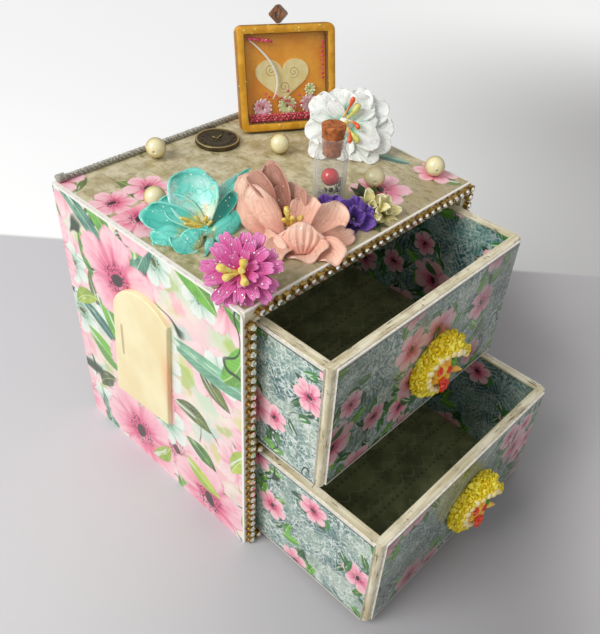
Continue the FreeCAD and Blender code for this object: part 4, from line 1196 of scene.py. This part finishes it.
crimson = mottled("crimson microbeads", 0.12, (0.0016, 2.0), (0.35, 0.65), (216, 22, 74), (250, 96, 132),
                  Coat_Weight=1.0)
chances = random.Random(11)
bead_spots = []
for row in range(3):
    for index in range(25 - row):
        bead_spots.append((4.5 + 1.30 * (index + 0.5 * (row % 2)) + chances.uniform(-0.1, 0.1),
                           4.2 + 1.0 * row + chances.uniform(-0.12, 0.12), -1.5 - 0.8 * (index % 2)))
for index in range(16):
    bead_spots.append((5.0 + 0.62 * index + chances.uniform(0, 0.3),
                       36.1 - 0.11 * index * chances.random(), -1.7))
for index in range(9):
    bead_spots.append((36.2 - chances.uniform(0, 0.4), 20.0 + 1.7 * index, -1.7))
for index in range(14):
    bead_spots.append((chances.uniform(8, 28), chances.uniform(8.5, 15.5), -1.6))
one = Shell()
one.ball(Vector(), 0.62, 8)
microbeads = copies("window_loose_microbeads", one.piece("microbead", crimson),
                    [set_on(pane_axes, *spot) for spot in bead_spots], [(0, 0, 0)] * len(bead_spots),
                    crimson, 0.6, 7)
hand_in(microbeads, "case", "microbead", "window_microbeads")

thread_white, at, shader = material("white thread", 0.6)
feed(shader, Base_Color=at.noise(0.0008, 3.0).over((244, 238, 220), (255, 253, 244)))
thread = Shell()
start, pull, push, end = [Vector(spot) for spot in ((5.4, 35.6, -2.0), (15.0, 28.0, -1.6), (19.6, 20.5, -1.6),
                                                    (14.2, 12.4, -1.8))]
path, girths = [], []
for i in range(31):
    share = i / 30
    path.append(set_on(pane_axes, *(start * (1 - share) ** 3 + pull * 3 * share * (1 - share) ** 2
                                    + push * 3 * share * share * (1 - share) + end * share ** 3)))
    girths.append(0.22 + 0.36 * sin(pi * share))
thread.tube(path, girths, 10)
thread.hand_in("window_thread", thread_white, "case", "cream_card")


# Cube bead: a small cube of dark wood, drilled through from front to back. It is glued, one edge
# down, on the window's top edge.
bead_wood, at, shader = material("bead wood", 0.5, Coat_Weight=0.2)
grain = at.vector("MULTIPLY", (1.0, 1.0, 0.18)).noise(0.0008, 4.0)
feed(shader, Base_Color=grain.rise(0.3, 0.7).over((62, 36, 20), (150, 96, 54)), Normal=at.bump(grain, 0.0001))
cube = Shell()
stand = (pane_axes @ Matrix.Translation(Vector((17.9, 44.68, -1.75)) * mm)
         @ Matrix.Rotation(radians(-28), 4, "Y") @ Matrix.Rotation(pi / 4, 4, "Z"))
loops = []
for half, depth, square in (  # from the hole over one face, along the sides and over the other face
        (0.62, 0.0, 0), (0.62, -2.4, 0), (0.78, -2.58, 0), (1.7, -2.6, 0.8), (2.4, -2.6, 1), (2.54, -2.54, 1),
        (2.6, -2.4, 1), (2.6, 2.4, 1), (2.54, 2.54, 1), (2.4, 2.6, 1), (1.7, 2.6, 0.8), (0.78, 2.58, 0),
        (0.62, 2.4, 0), (0.62, 0.0, 0)):
    loop = []
    for angle in circle(32, 0.5):
        longest = max(abs(cos(angle)), abs(sin(angle)))
        reach = half * ((1 - square) + square / longest)
        loop.append(set_on(stand, reach * cos(angle), reach * sin(angle), depth))
    loops.append(loop)
cube.rings(loops)
cube.hand_in("drilled_cube_bead", bead_wood, "case", "bead_wood", "cube_bead", smooth=False)


# Vial: a blown glass bottle with a pressed-in cork that lifts out. Inside lie silver and dark seed
# beads, and a red pearl rests on them.
vial_glass, at, shader = material("vial glass", 0.03, Specular_IOR_Level=0.8)
# Painted reflection: the glass is white, see-through where it faces the view and more solid where it slants
# away, drawing its bright edges.
slant = at.put("LayerWeight", {}, {"Blend": 0.5}, 1)
feed(shader, Base_Color=at.noise(0.01, 2.0).over((214, 220, 216), (240, 244, 242)),
     Alpha=slant.rise(0.40, 0.92) * 0.7 + slant * 0.16 + 0.06)
vial_x, vial_y = 7.3, -23.5
vial_stand = Matrix.Translation(Vector((vial_x, vial_y, case_top)) * mm)
vial = Shell()
vial.turned([(0, 0.02), (5.2, 0.02), (5.8, 0.25), (6.0, 0.9), (6.0, 17.1), (5.9, 17.9), (5.4, 19.1),
             (4.9, 19.8), (4.75, 20.4), (4.75, 22.9), (5.0, 23.2), (5.3, 23.7), (5.3, 24.6), (5.0, 24.95),
             (4.4, 25.0), (3.95, 24.8), (3.9, 24.2), (3.9, 20.0), (4.5, 18.9), (5.0, 17.9), (5.1, 17.1),
             (5.1, 1.6), (4.7, 1.0), (0, 0.9)], 56, vial_stand)
vial.hand_in("glass_vial", vial_glass, "case", "vial_glass", "vial")

cork_finish, at, shader = material("cork", 0.75)
granules = at.put("TexVoronoi", {}, {"Vector": at, "Scale": 700.0})
bark = granules.other("Color").x.over((158, 84, 38), (204, 122, 64))
pits = at.noise(0.0010, 3.0, 0.6).rise(0.60, 0.67)
bark = (pits * 0.75).over(bark, (78, 36, 16))
feed(shader, Base_Color=bark, Normal=at.bump(granules * 0.4 - pits, 0.0003))
cork = Shell()
cork.turned([(0, 18.0), (3.0, 18.0), (3.3, 18.3), (3.45, 20.5), (3.65, 23.4), (3.78, 25.0), (3.98, 26.4),
             (4.2, 27.8), (4.4, 28.8), (4.28, 29.1), (3.9, 29.2), (0, 29.2)], 48, vial_stand,
            wave=lambda angle, height: (1 + 0.012 * sin(7 * angle + height * 3)
                                        - 0.012 * abs(sin(11 * angle - height * 5))))
cork.hand_in("cork_stopper", cork_finish, "cork", "cork", "vial_cork")

red_pearl, at, shader = material("red pearl", 0.25, Coat_Weight=1.0, Coat_Roughness=0.08)
# Painted light: the red pearl is painted lighter where it faces the view and darker red toward its edge, a
# painted highlight and shade.
rim = at.put("LayerWeight", {}, {"Blend": 0.4}, 1)
feed(shader, Base_Color=rim.rise(0.1, 0.9).over((232, 58, 66), (150, 22, 34)))
pearl = Shell()
pearl.ball(Vector((5.93, -24.69, 128.4)) * mm, 3.25, 40)
pearl.hand_in("red_pearl_in_vial", red_pearl, "case", "red_bead", "vial_red_bead")

seed_bead, at, shader = material("seed beads", 0.15, Metallic=0.6, Coat_Weight=0.6)
shade = at.put("TexVoronoi", {}, {"Vector": at, "Scale": 420.0}).other("Color").x
feed(shader, Base_Color=shade.rise(0.35, 0.5).over((46, 48, 44), (206, 206, 196)))
bead_spots = []
heap_side = radians(-46)
for layer in range(4):
    for angle in circle(12):
        if layer == 0 or cos(angle - heap_side) >= 0.28 * layer:
            bead_spots.append(Vector((vial_x + 4.07 * cos(angle), vial_y + 4.07 * sin(angle),
                                      case_top + 1.92 + 2.03 * layer)) * mm)
one = Shell()
one.turned([(0.28, 0.7), (0.75, 0.6), (1.0, 0.2), (1.0, -0.2), (0.75, -0.6), (0.28, -0.7), (0.28, 0.7)],
           12, Matrix())
seeds = copies("seed_beads_in_vial", one.piece("seed", seed_bead), bead_spots, [(0, 0, 0)] * len(bead_spots),
               seed_bead, 1.2, 4)
hand_in(seeds, "case", "silver_bead", "vial_small_beads")


# Flowers: petals die-cut from paper and fabric, shaped over a ball tool, glued round the stamens
# and dusted with glitter. They are glued on the top.
broad_petal = (0.3, 0.56, 0.8, 0.95, 1.0, 1.0, 0.98, 0.9, 0.72)
egg_petal = (0.34, 0.6, 0.84, 0.97, 1.0, 0.96, 0.86, 0.7, 0.45)
fan_petal = (0.34, 0.55, 0.74, 0.88, 0.97, 1.0, 1.0, 0.97, 0.86)
long_petal = (0.3, 0.5, 0.68, 0.84, 0.95, 1.0, 0.96, 0.8, 0.36)
pointed_petal = (0.3, 0.62, 0.86, 1.0, 0.98, 0.82, 0.58, 0.3, 0.05)


def bent(root, middle, tip):
    """A bent line through three spots in mm: its spot and its way ahead at a share of its length."""
    root, middle, tip = Vector(root), Vector(middle), Vector(tip)
    pull = middle * 2 - (root + tip) / 2

    def spot(share):
        return root * (1 - share) ** 2 + pull * (2 * share * (1 - share)) + tip * share ** 2

    def ahead(share):
        return ((pull - root) * (1 - share) + (tip - pull) * share).normalized()

    return spot, ahead


def petal(shell, root, middle, tip, width, roll=0, fold=0.6, ruffle=0.2, chance=0.5, shape=broad_petal,
          ridges=0.0, notch=0.3, facing=backward, thick=0.4, waves=3.0):
    """One petal through three spots in mm, as wide along its way as shape says. Its inside turns to
    facing, then rolls about its length by roll degrees; fold cups it, ruffle waves its rim by so many
    waves, ridges groove it and notch nicks its tip."""
    spot_along, way_ahead = bent(root, middle, tip)
    tip = Vector(tip)
    rows, columns = 19, 49 if ridges else 17
    sheet = []
    for i in range(rows):
        share = i / (rows - 1)
        spot, ahead = spot_along(share), way_ahead(share)
        side = Matrix.Rotation(radians(roll), 3, ahead) @ ahead.cross(facing).normalized()
        normal = side.cross(ahead)
        half = width / 2 * swell(shape, share)
        row = []
        for j in range(columns):
            across = 2 * j / (columns - 1) - 1
            bend = fold * across
            aside = half * (sin(bend) / fold if fold else across)
            raised = half * ((1 - cos(bend)) / fold if fold else 0)
            raised += ruffle * sin(waves * pi * across + tip.x) * share * share * abs(across) ** 0.5
            raised += ruffle * 0.6 * cos(waves * 2.3 * across + tip.y) * share ** 3
            raised -= ridges * abs(sin(pi * 3.5 * across)) * sin(pi * min(1, share * 1.1)) ** 0.5
            short = (1 - abs(across)) ** 2 * notch * share ** 8
            short += half * 0.8 * (1 - cos(across * pi / 2)) * share ** 5
            row.append((spot + side * aside + normal * raised - ahead * short) * mm)
        sheet.append(row)
    shell.grid(sheet, thick * mm, chance)


def faceward(place, azimuth, elevation):
    """Carries +Z to a direction given by azimuth and elevation, at a place in mm."""
    return (Matrix.Translation(Vector(place) * mm) @ Matrix.Rotation(radians(azimuth), 4, "Z")
            @ Matrix.Rotation(radians(90 - elevation), 4, "Y"))


def front_of(carry):
    return carry.to_3x3() @ Vector((0, 0, 1))


def ring_petal(carry, turn, length, rise, curl, lift=0.0, root=1.2):
    """The three spots of a petal in a ring: it leaves the middle at angle rise and bends by curl."""
    spots = [Vector((root, 0, lift))]
    for share in (0.25, 0.75):
        angle = radians(rise + curl * share)
        spots.append(spots[-1] + Vector((cos(angle), 0, sin(angle))) * (length / 2))
    spin = carry @ Matrix.Rotation(radians(turn), 4, "Z")
    return [(spin @ (spot * mm)) / mm for spot in spots]


def petal_finish(name, root, body, tip, line, lines=9.0, glitter=0.03, shaded_tone=None, pearly=None,
                 rough=0.5, rim=None, **fixed):
    """Paper petal colours from root to tip, with fine lines running out, glitter flakes and a rim.
    The deep tone is a painted shade on petals of high chance, the pearly tone a painted sheen on
    petals of low chance, and the rim tone paints the petal's edge, as a painted rim light where it
    is paler than the body.
    """
    made, at, shader = material(name, rough, **fixed)
    spot = at.put("UVMap", {"uv_map": "petal"}, {})
    across, out = spot.x - 0.5, spot.y
    cloud = at.noise(0.0045, 3.0)
    reach = out + (cloud - 0.5) * 0.35
    colour = reach.rise(0.05, 0.42).over(root, body)
    colour = reach.rise(0.55, 1.0).over(colour, tip)
    wander = at.noise(0.005, 3.0) * 7.0
    creases = (across * (lines * 6.283) + wander).sine.rise(0.45, 1.0)
    colour = (creases * out.fall(0.6, 1.0) * 0.28).over(colour, line)
    veins = at.off_middle(0.007, 4.0, 0.6).fall(0.004, 0.022)
    colour = (veins * 0.35).over(colour, line)
    # Painted shade: petals of high chance get the deep tone, for the shade on inner and back petals.
    if shaded_tone:
        chance = at.put("UVMap", {"uv_map": "chance"}, {})
        # Painted sheen: petals of low chance get pale pearly and warm patches over most of their length.
        if pearly:
            inner = chance.x.fall(0.15, 0.45)
            sheen = at.noise(0.009, 3.0).rise(0.38, 0.68) * out.fall(0.6, 0.98)
            colour = (sheen * inner * 0.85).over(colour, pearly)
            warm = at.moved(0.2, 0.4, 0.1).noise(0.006, 3.0).rise(0.5, 0.66) * out.fall(0.45, 0.85)
            colour = (warm * inner * 0.8).over(colour, (238, 218, 168))
        colour = (chance.x.rise(0.5, 1.0) * 0.85).over(colour, shaded_tone)
    # The rim tone is a tint at the petal's edge; where it is paler than the body it is a painted rim light.
    if rim:
        edge = (across.unsigned * 2.0).most(out) + (cloud - 0.5) * 0.08
        colour = (edge.rise(0.90, 0.99) * 0.7).over(colour, rim)
    flakes = glints(at, 0.0009, glitter)
    colour = flakes.over(colour, (255, 253, 250))
    feed(shader, Base_Color=colour, Metallic=flakes * 0.15, Roughness=rough - flakes * (rough - 0.15),
         Normal=at.bump(creases * -0.3 - veins * 0.5 + cloud * 0.8 + flakes, 0.00016))
    return made


def stalks(name, finish, slot, nodes, paths, radii):
    """Soft stalks through three spots in mm each, as thick along their way as radii say."""
    shell = Shell()
    shares = [i / 12 for i in range(13)]
    for *spots, girth in paths:
        spot = bent(*spots)[0]
        shell.tube([spot(share) * mm for share in shares],
                   [girth * swell(radii, share) for share in shares], 12)
    shell.hand_in(name, finish, "case", slot, *nodes)


lumpy = (0.62, 0.9, 1.05, 0.92, 1.08, 0.98, 0.7)
clubbed = (0.4, 0.4, 0.42, 0.5, 0.8, 1.0, 0.6)
flared = (0.4, 0.46, 0.6, 0.8, 1.05, 1.15, 0.8)

white_paper = petal_finish("white petal paper", (146, 218, 188), (244, 248, 245), (252, 253, 251),
                           (216, 228, 222), 5.0, 0.012, rough=0.6)
white = Shell()
for row in (
        ((43.5, -2.2, 129.1), (50.7, -6.0, 133.0), (57.4, -8.8, 135.9), 12.4),
        ((43.6, -2.1, 129.1), (49.6, -10.2, 128.5), (53.8, -15.8, 126.7), 11.2),
        ((42.6, -2.0, 128.5), (47.1, -12.8, 124.7), (50.2, -17.9, 122.2), 9.6),
        ((41.8, -2.2, 127.9), (42.8, -12.1, 121.9), (44.5, -16.9, 118.9), 9.6),
        ((40.8, -1.5, 128.0), (39.7, -9.0, 122.2), (39.4, -13.0, 118.3), 11.1),
        ((40.0, -1.1, 128.1), (35.9, -4.9, 122.2), (34.2, -8.0, 118.3), 9.5),
        ((39.4, -0.6, 128.1), (31.5, 1.5, 122.9), (26.0, 4.6, 119.2), 10.7),
        ((40.3, 0.5, 129.9), (33.5, 4.8, 127.9), (28.6, 9.9, 125.8), 14.3),
        ((40.7, 0.8, 130.5), (37.4, 7.9, 133.6), (35.3, 14.2, 135.0), 12.7),
        ((41.1, 0.2, 130.7), (42.5, 3.6, 135.7), (45.5, 7.9, 140.5), 14.3),
        ((42.1, -1.0, 131.2), (47.0, -1.4, 136.2), (51.9, 0.9, 141.1), 11.5),
        ((42.0, -2.2, 131.2), (46.8, -4.3, 135.2), (51.9, -6.0, 136.8), 10.7),
        ((41.5, -2.7, 130.7), (44.6, -7.2, 131.8), (48.7, -11.1, 130.8), 9.5),
        ((40.3, -3.8, 129.8), (41.7, -11.2, 127.5), (45.8, -15.9, 125.4), 10.2),
        ((39.1, -1.5, 131.4), (37.7, 1.9, 135.2), (36.5, 5.3, 137.6), 6.3)):
    petal(white, *row, fold=0.55, ruffle=0.35)
white.ball(Vector((40.6, -1.0, 129.2)) * mm, 4.2, 16)
white.hand_in("white_blossom", white_paper, "case", "white_petal", "white_flower")

orange_tip, at, shader = material("orange stamens", 0.35, Coat_Weight=0.4)
spot = at.put("UVMap", {"uv_map": "petal"}, {})
feed(shader, Base_Color=spot.y.rise(0.1, 0.5).over((246, 196, 120), (240, 92, 32)),
     Normal=at.bump(at.noise(0.0008, 2.0), 0.0002))
stalks("white_blossom_stamens", orange_tip, "orange_stamen", ["white_stamens"],
       (((38.4, -1.4, 133.2), (40.3, -2.9, 137.7), (41.4, -3.5, 141.2), 1.0),
        ((39.4, -4.3, 131.9), (39.1, -7.1, 132.6), (38.4, -10.0, 131.3), 1.0),
        ((37.8, -4.9, 130.1), (35.7, -8.0, 128.9), (33.7, -9.5, 126.8), 1.1)), clubbed)
pistil_green = mottled("yellow-green pistils", 0.45, (0.0015, 2.0), (0.35, 0.65), (196, 206, 90),
                       (236, 230, 140))
stalks("white_blossom_pistils", pistil_green, "orange_stamen", [],
       (((39.3, -2.7, 133.0), (41.1, -4.5, 135.6), (43.4, -4.7, 138.3), 1.2),
        ((38.1, -4.1, 130.1), (37.1, -7.8, 128.8), (37.2, -11.5, 126.9), 1.2),
        ((38.7, -3.0, 130.8), (37.4, -4.0, 132.0), (36.8, -5.0, 132.9), 0.9)), flared)

orchid_paper = petal_finish("orchid petal paper", (204, 36, 104), (222, 92, 164), (234, 140, 198),
                            (184, 62, 142), 3.5, 0.14, rough=0.45)
daisy_at = faceward((-53.8, -44.0, 126.9), 220.7, 42)
daisy = Shell()
for count, start, length, width, rise, curl, lift, root in ((13, 15, 11.6, 4.3, -5, 4, -1.2, 1.4),
                                                            (11, 0, 9.4, 3.7, 7, 2, 0.0, 1.2),
                                                            (7, 10, 5.6, 2.8, 16, 4, 0.7, 0.8)):
    for index in range(count):
        wobble = sin(index * 3.1 + length)
        petal(daisy, *ring_petal(daisy_at, start + 360 / count * index + 3 * wobble, length + 0.4 * wobble,
                                 rise + 3 * wobble, curl, lift, root),
              width, fold=0.25, ruffle=0.12, ridges=0.16, notch=1.5, facing=front_of(daisy_at))
daisy.ball(daisy_at @ Vector((0, 0, -0.0014)), 2.6, 16)
daisy.hand_in("orchid_daisy", orchid_paper, "case", "purple_petal", "purple_flower")

yellow_foam = mottled("yellow stamens", 0.6, (0.0013, 3.0), (0.35, 0.65), (232, 196, 80), (250, 234, 142),
                      (0.0007, 3.0, 0.0004))
stalks("orchid_daisy_stamens", yellow_foam, "yellow_stamen", ["purple_stamens"],
       (((-55.3, -43.8, 127.2), (-58.3, -42.7, 128.5), (-60.0, -40.4, 129.5), 1.15),
        ((-55.2, -44.5, 126.8), (-58.5, -44.2, 127.2), (-60.0, -43.2, 126.5), 1.1),
        ((-54.5, -45.0, 127.1), (-54.6, -45.6, 129.6), (-53.8, -45.1, 131.5), 1.15),
        ((-54.6, -45.1, 126.9), (-56.1, -47.6, 126.8), (-57.0, -49.1, 125.6), 1.15),
        ((-55.4, -45.1, 127.7), (-55.6, -45.8, 128.5), (-55.9, -46.5, 129.3), 1.0)), flared)

# The peach petals get a painted shade on the petals inside the cup, and a slightly darker tint at their edge.
peach_paper = petal_finish("peach petal fabric", (214, 138, 116), (240, 186, 162), (252, 216, 194),
                           (218, 156, 140), 8.0, 0.04, (158, 98, 78), rough=0.5, rim=(232, 176, 158),
                           Sheen_Weight=0.2)
peach = Shell()
for row in (
        ((-15.1, -23.1, 120.0), (-14.7, -18.4, 128.0), (-11.3, -11.8, 135.5),
         11.6, -10, 0.9, 0.35, 0.95, egg_petal),
        ((-13.5, -24.4, 120.0), (-13.1, -23.2, 126.0), (-9.7, -20.1, 130.0), 13.7, 0, 0.8, 0.4, 0.85),
        ((-27.9, -27.4, 119.5), (-26.0, -14.7, 124.5), (-18.2, -8.2, 131.5), 8.1, 0, -0.9, 0.35, 0.3),
        ((-24.4, -31.5, 120.0), (-24.1, -21.5, 124.5), (-21.5, -14.2, 131.0), 12.8, -10, -0.9, 0.35, 0.2),
        ((-18.3, -21.3, 126.0), (-19.5, -16.5, 130.5), (-18.3, -9.3, 132.0), 6.8, 0, 0.8, 0.3, 0.9),
        ((-17.3, -32.9, 120.0), (-12.3, -30.7, 124.0), (-7.6, -27.8, 127.5), 12.2, 0, 0.7, 0.3, 0.35),
        ((-19.6, -38.0, 119.5), (-9.5, -38.4, 122.5), (-1.7, -36.0, 126.5), 12.2, 10, 0.8, 0.35, 0.45),
        ((-26.1, -42.5, 119.2), (-23.7, -39.9, 123.0), (-20.8, -37.3, 127.0),
         17.0, 0, -0.6, 0.15, 0.3, fan_petal, 0.7),
        ((-25.3, -20.9, 119.2), (-29.1, -29.7, 119.6), (-27.9, -37.9, 119.2), 6.6, 0, 0.4, 0.5, 0.3),
        ((-24.3, -32.4, 119.6), (-30.3, -35.7, 119.2), (-33.9, -40.2, 118.5), 9.8, 0, 0.4, 0.7, 0.6),
        ((-21.7, -39.1, 119.0), (-23.9, -43.1, 118.9), (-26.8, -47.3, 118.5), 15.0, 0, 0.4, 0.7, 0.35),
        ((-18.3, -41.4, 119.4), (-18.7, -48.0, 119.4), (-21.2, -53.9, 118.5), 10.5, 0, 0.5, 0.7, 0.55),
        ((-15.3, -39.5, 119.2), (-11.2, -44.4, 119.8), (-4.6, -45.2, 120.5), 8.0, 0, 0.5, 0.5, 0.75)):
    petal(peach, *row, notch=0.1, waves=1.8)
peach.ball(Vector((-17.5, -29.5, 119.6)) * mm, 1.0, 16, Matrix.Diagonal((6.5, 7.5, 1.2, 1)), 0.6)
peach.hand_in("peach_blossom", peach_paper, "case", "peach_petal", "peach_flower")
stalks("peach_blossom_pistils", yellow_foam, "yellow_stamen", ["peach_pistils"],
       (((-16.2, -27.2, 120.0), (-17.7, -27.5, 123.5), (-17.7, -26.4, 126.5), 1.1),
        ((-17.3, -29.6, 120.0), (-17.9, -30.1, 122.5), (-18.8, -30.4, 124.5), 1.0),
        ((-17.0, -29.8, 120.0), (-16.1, -30.7, 122.0), (-14.0, -30.5, 123.0), 0.9),
        ((-17.8, -29.2, 120.0), (-19.6, -28.5, 122.0), (-20.7, -28.1, 123.5), 0.9)), lumpy)

# The teal petals get a painted shade, a painted pearly sheen and a painted rim light.
teal_paper = petal_finish("teal petal foil paper", (224, 214, 124), (116, 224, 208), (64, 196, 176),
                          (26, 150, 140), 3.0, 0.05, (10, 156, 142), (226, 242, 238), 0.35,
                          (156, 240, 228), Coat_Weight=0.3, Coat_Roughness=0.2)
teal = Shell()
for row in (
        ((-40.0, -10.2, 119.5), (-37.7, -3.2, 127.0), (-31.5, 3.8, 133.5), 18.1, 0, 0.6, 0.25, 0.05),
        ((-40.6, -11.3, 119.5), (-43.2, -1.8, 123.5), (-48.1, 4.0, 125.5),
         10.7, 10, 0.8, 0.3, 0.3, egg_petal),
        ((-41.4, -11.2, 119.0), (-47.6, -3.0, 121.6), (-54.0, 6.2, 123.0), 12.0, 15, 1, 0.5, 0.72),
        ((-45.5, -10.4, 118.8), (-52.6, -8.1, 120.0), (-56.0, -2.0, 120.0), 8.5, 0, -0.4, 0.5, 0.5),
        ((-45.3, -11.4, 119.2), (-51.3, -13.6, 119.4), (-54.7, -14.7, 118.4), 14.3, 0, -0.4, 0.5, 0.4),
        ((-47.0, -16.4, 118.5), (-48.6, -14.5, 120.6), (-48.9, -10.8, 122.4),
         14.3, 0, -0.5, 0.3, 0.62, fan_petal, 0.25),
        ((-39.9, -12.5, 119.4), (-44.5, -18.0, 119.4), (-49.4, -21.7, 118.4),
         3.3, 0, -0.9, 0.2, 0.3, pointed_petal),
        ((-40.3, -13.0, 119.0), (-36.2, -15.9, 120.2), (-26.8, -13.9, 122.5), 6.7, 10, -0.7, 0.4, 0.5),
        ((-38.8, -11.3, 119.5), (-32.2, -10.5, 123.5), (-24.7, -9.2, 127.0), 5.7, 20, 1, 0.3, 0.98),
        ((-32.2, -6.7, 121.0), (-25.6, -6.6, 127.0), (-14.6, -5.3, 131.0),
         6.5, 10, 0.6, 0.2, 0.1, pointed_petal),
        ((-40.5, -13.2, 118.8), (-40.0, -17.7, 119.2), (-35.8, -19.4, 119.0), 4.6, 0, -0.5, 0.4, 0.6)):
    petal(teal, *row, notch=0.1, thick=0.45, waves=1.5)
teal.ball(Vector((-38.5, -9.5, 119.4)) * mm, 1.0, 16, Matrix.Diagonal((7.0, 6.0, 1.1, 1)), 0.3)
teal.hand_in("teal_blossom", teal_paper, "case", "teal_petal", "teal_flower")
stalks("teal_blossom_stamens", yellow_foam, "yellow_stamen", ["teal_stamens"],
       (((-40.4, -10.6, 119.5), (-43.7, -7.5, 122.5), (-46.4, -5.9, 124.0), 0.6),
        ((-40.4, -10.6, 119.5), (-43.5, -8.8, 121.5), (-46.3, -7.7, 122.5), 0.55),
        ((-40.4, -10.6, 119.5), (-42.0, -10.1, 123.0), (-43.0, -9.4, 125.0), 0.6),
        ((-40.2, -10.9, 119.5), (-39.9, -10.6, 122.0), (-39.0, -10.7, 124.0), 0.6),
        ((-40.4, -10.6, 119.5), (-43.4, -10.1, 120.5), (-46.1, -9.9, 121.5), 0.55),
        ((-40.2, -10.9, 119.5), (-39.2, -11.8, 121.5), (-38.8, -12.9, 123.0), 0.55)), lumpy)

violet_paper = petal_finish("violet petal fabric", (52, 20, 90), (86, 42, 146), (120, 78, 180),
                            (44, 16, 78), 5.0, 0.01, rough=0.55, Sheen_Weight=0.3)
violet = Shell()
for *place, azimuth, elevation, size in ((-3.6, -33.6, 121.6, 205, 60, 0.85),
                                         (1.6, -40.6, 120.2, 240, 50, 1.0)):
    bloom_at = faceward(place, azimuth, elevation)
    for index in range(7):
        spots = ring_petal(bloom_at, 51.4 * index + 10, 7.8 * size, 8 + 10 * sin(index * 2.1), 20, -0.6, 0.8)
        petal(violet, *spots, 7.4 * size, fold=0.7, ruffle=0.9, facing=front_of(bloom_at), waves=4.0)
    for index in range(4):
        spots = ring_petal(bloom_at, 90 * index, 5.0 * size, 44 + 8 * sin(index * 1.7), 14, 0.0, 0.5)
        petal(violet, *spots, 5.6 * size, fold=1.0, ruffle=0.7, facing=front_of(bloom_at), waves=4.0)
violet.hand_in("violet_blossom", violet_paper, "case", "violet_petal", "violet_flower")

primrose_paper = petal_finish("pale yellow petal fabric", (126, 122, 40), (232, 222, 158), (248, 242, 204),
                              (186, 178, 92), 6.0, 0.005, rough=0.6)
primrose = Shell()
for *place, azimuth, elevation, size in ((10.4, -41.2, 121.4, 230, 62, 0.9),
                                         (13.4, -44.6, 120.0, 270, 40, 0.85)):
    bloom_at = faceward(place, azimuth, elevation)
    for index in range(6):
        spots = ring_petal(bloom_at, 60 * index + 12, 7.4 * size, 10 + 14 * sin(index * 2.3), 26, 0.0, 0.7)
        petal(primrose, *spots, 5.0 * size, 0, 0.9, 0.3, 0.5, egg_petal, 0.15, 0.1, front_of(bloom_at))
    for index in range(3):
        spots = ring_petal(bloom_at, 120 * index + 40, 3.2, 56, 20, 0.2, 0.4)
        petal(primrose, *spots, 2.6, 0, 1.1, 0.1, 0.5, long_petal, 0.0, 0.1, front_of(bloom_at))
primrose.hand_in("pale_yellow_blossom", primrose_paper, "case", "pale_yellow_petal", "yellow_flower")

leaf_paper = petal_finish("dark leaf paper", (40, 48, 34), (70, 82, 48), (110, 116, 62), (36, 44, 30),
                          5.0, 0.0, rough=0.6)
leaves = Shell()
for x, y, turn_to, length, width, rise in ((17.5, -32.0, 10, 7.0, 3.8, 24), (17.8, -31.4, 60, 6.4, 3.6, 36),
                                           (17.0, -31.0, 110, 5.6, 3.4, 44), (17.4, -33.0, -40, 6.4, 3.6, 20),
                                           (16.8, -32.4, -95, 5.6, 3.4, 26), (17.2, -31.8, 160, 4.4, 3.0, 50),
                                           (21.0, -33.0, 30, 5.0, 3.0, 30), (20.6, -35.0, -60, 5.0, 3.0, 20),
                                           (6.2, -46.2, 250, 4.2, 2.2, 6), (7.4, -46.6, 300, 4.0, 2.0, 8)):
    spots = ring_petal(faceward((x, y, case_top + 0.4), turn_to, 90), 0, length, rise, -18, 0.0, 0.0)
    petal(leaves, *spots, width, 0, 0.6, 0.15, 0.5, pointed_petal, 0.0, 0.0, Vector((0, 0, 1)), 0.25)
leaves.hand_in("dark_leaves", leaf_paper, "case", "violet_petal")
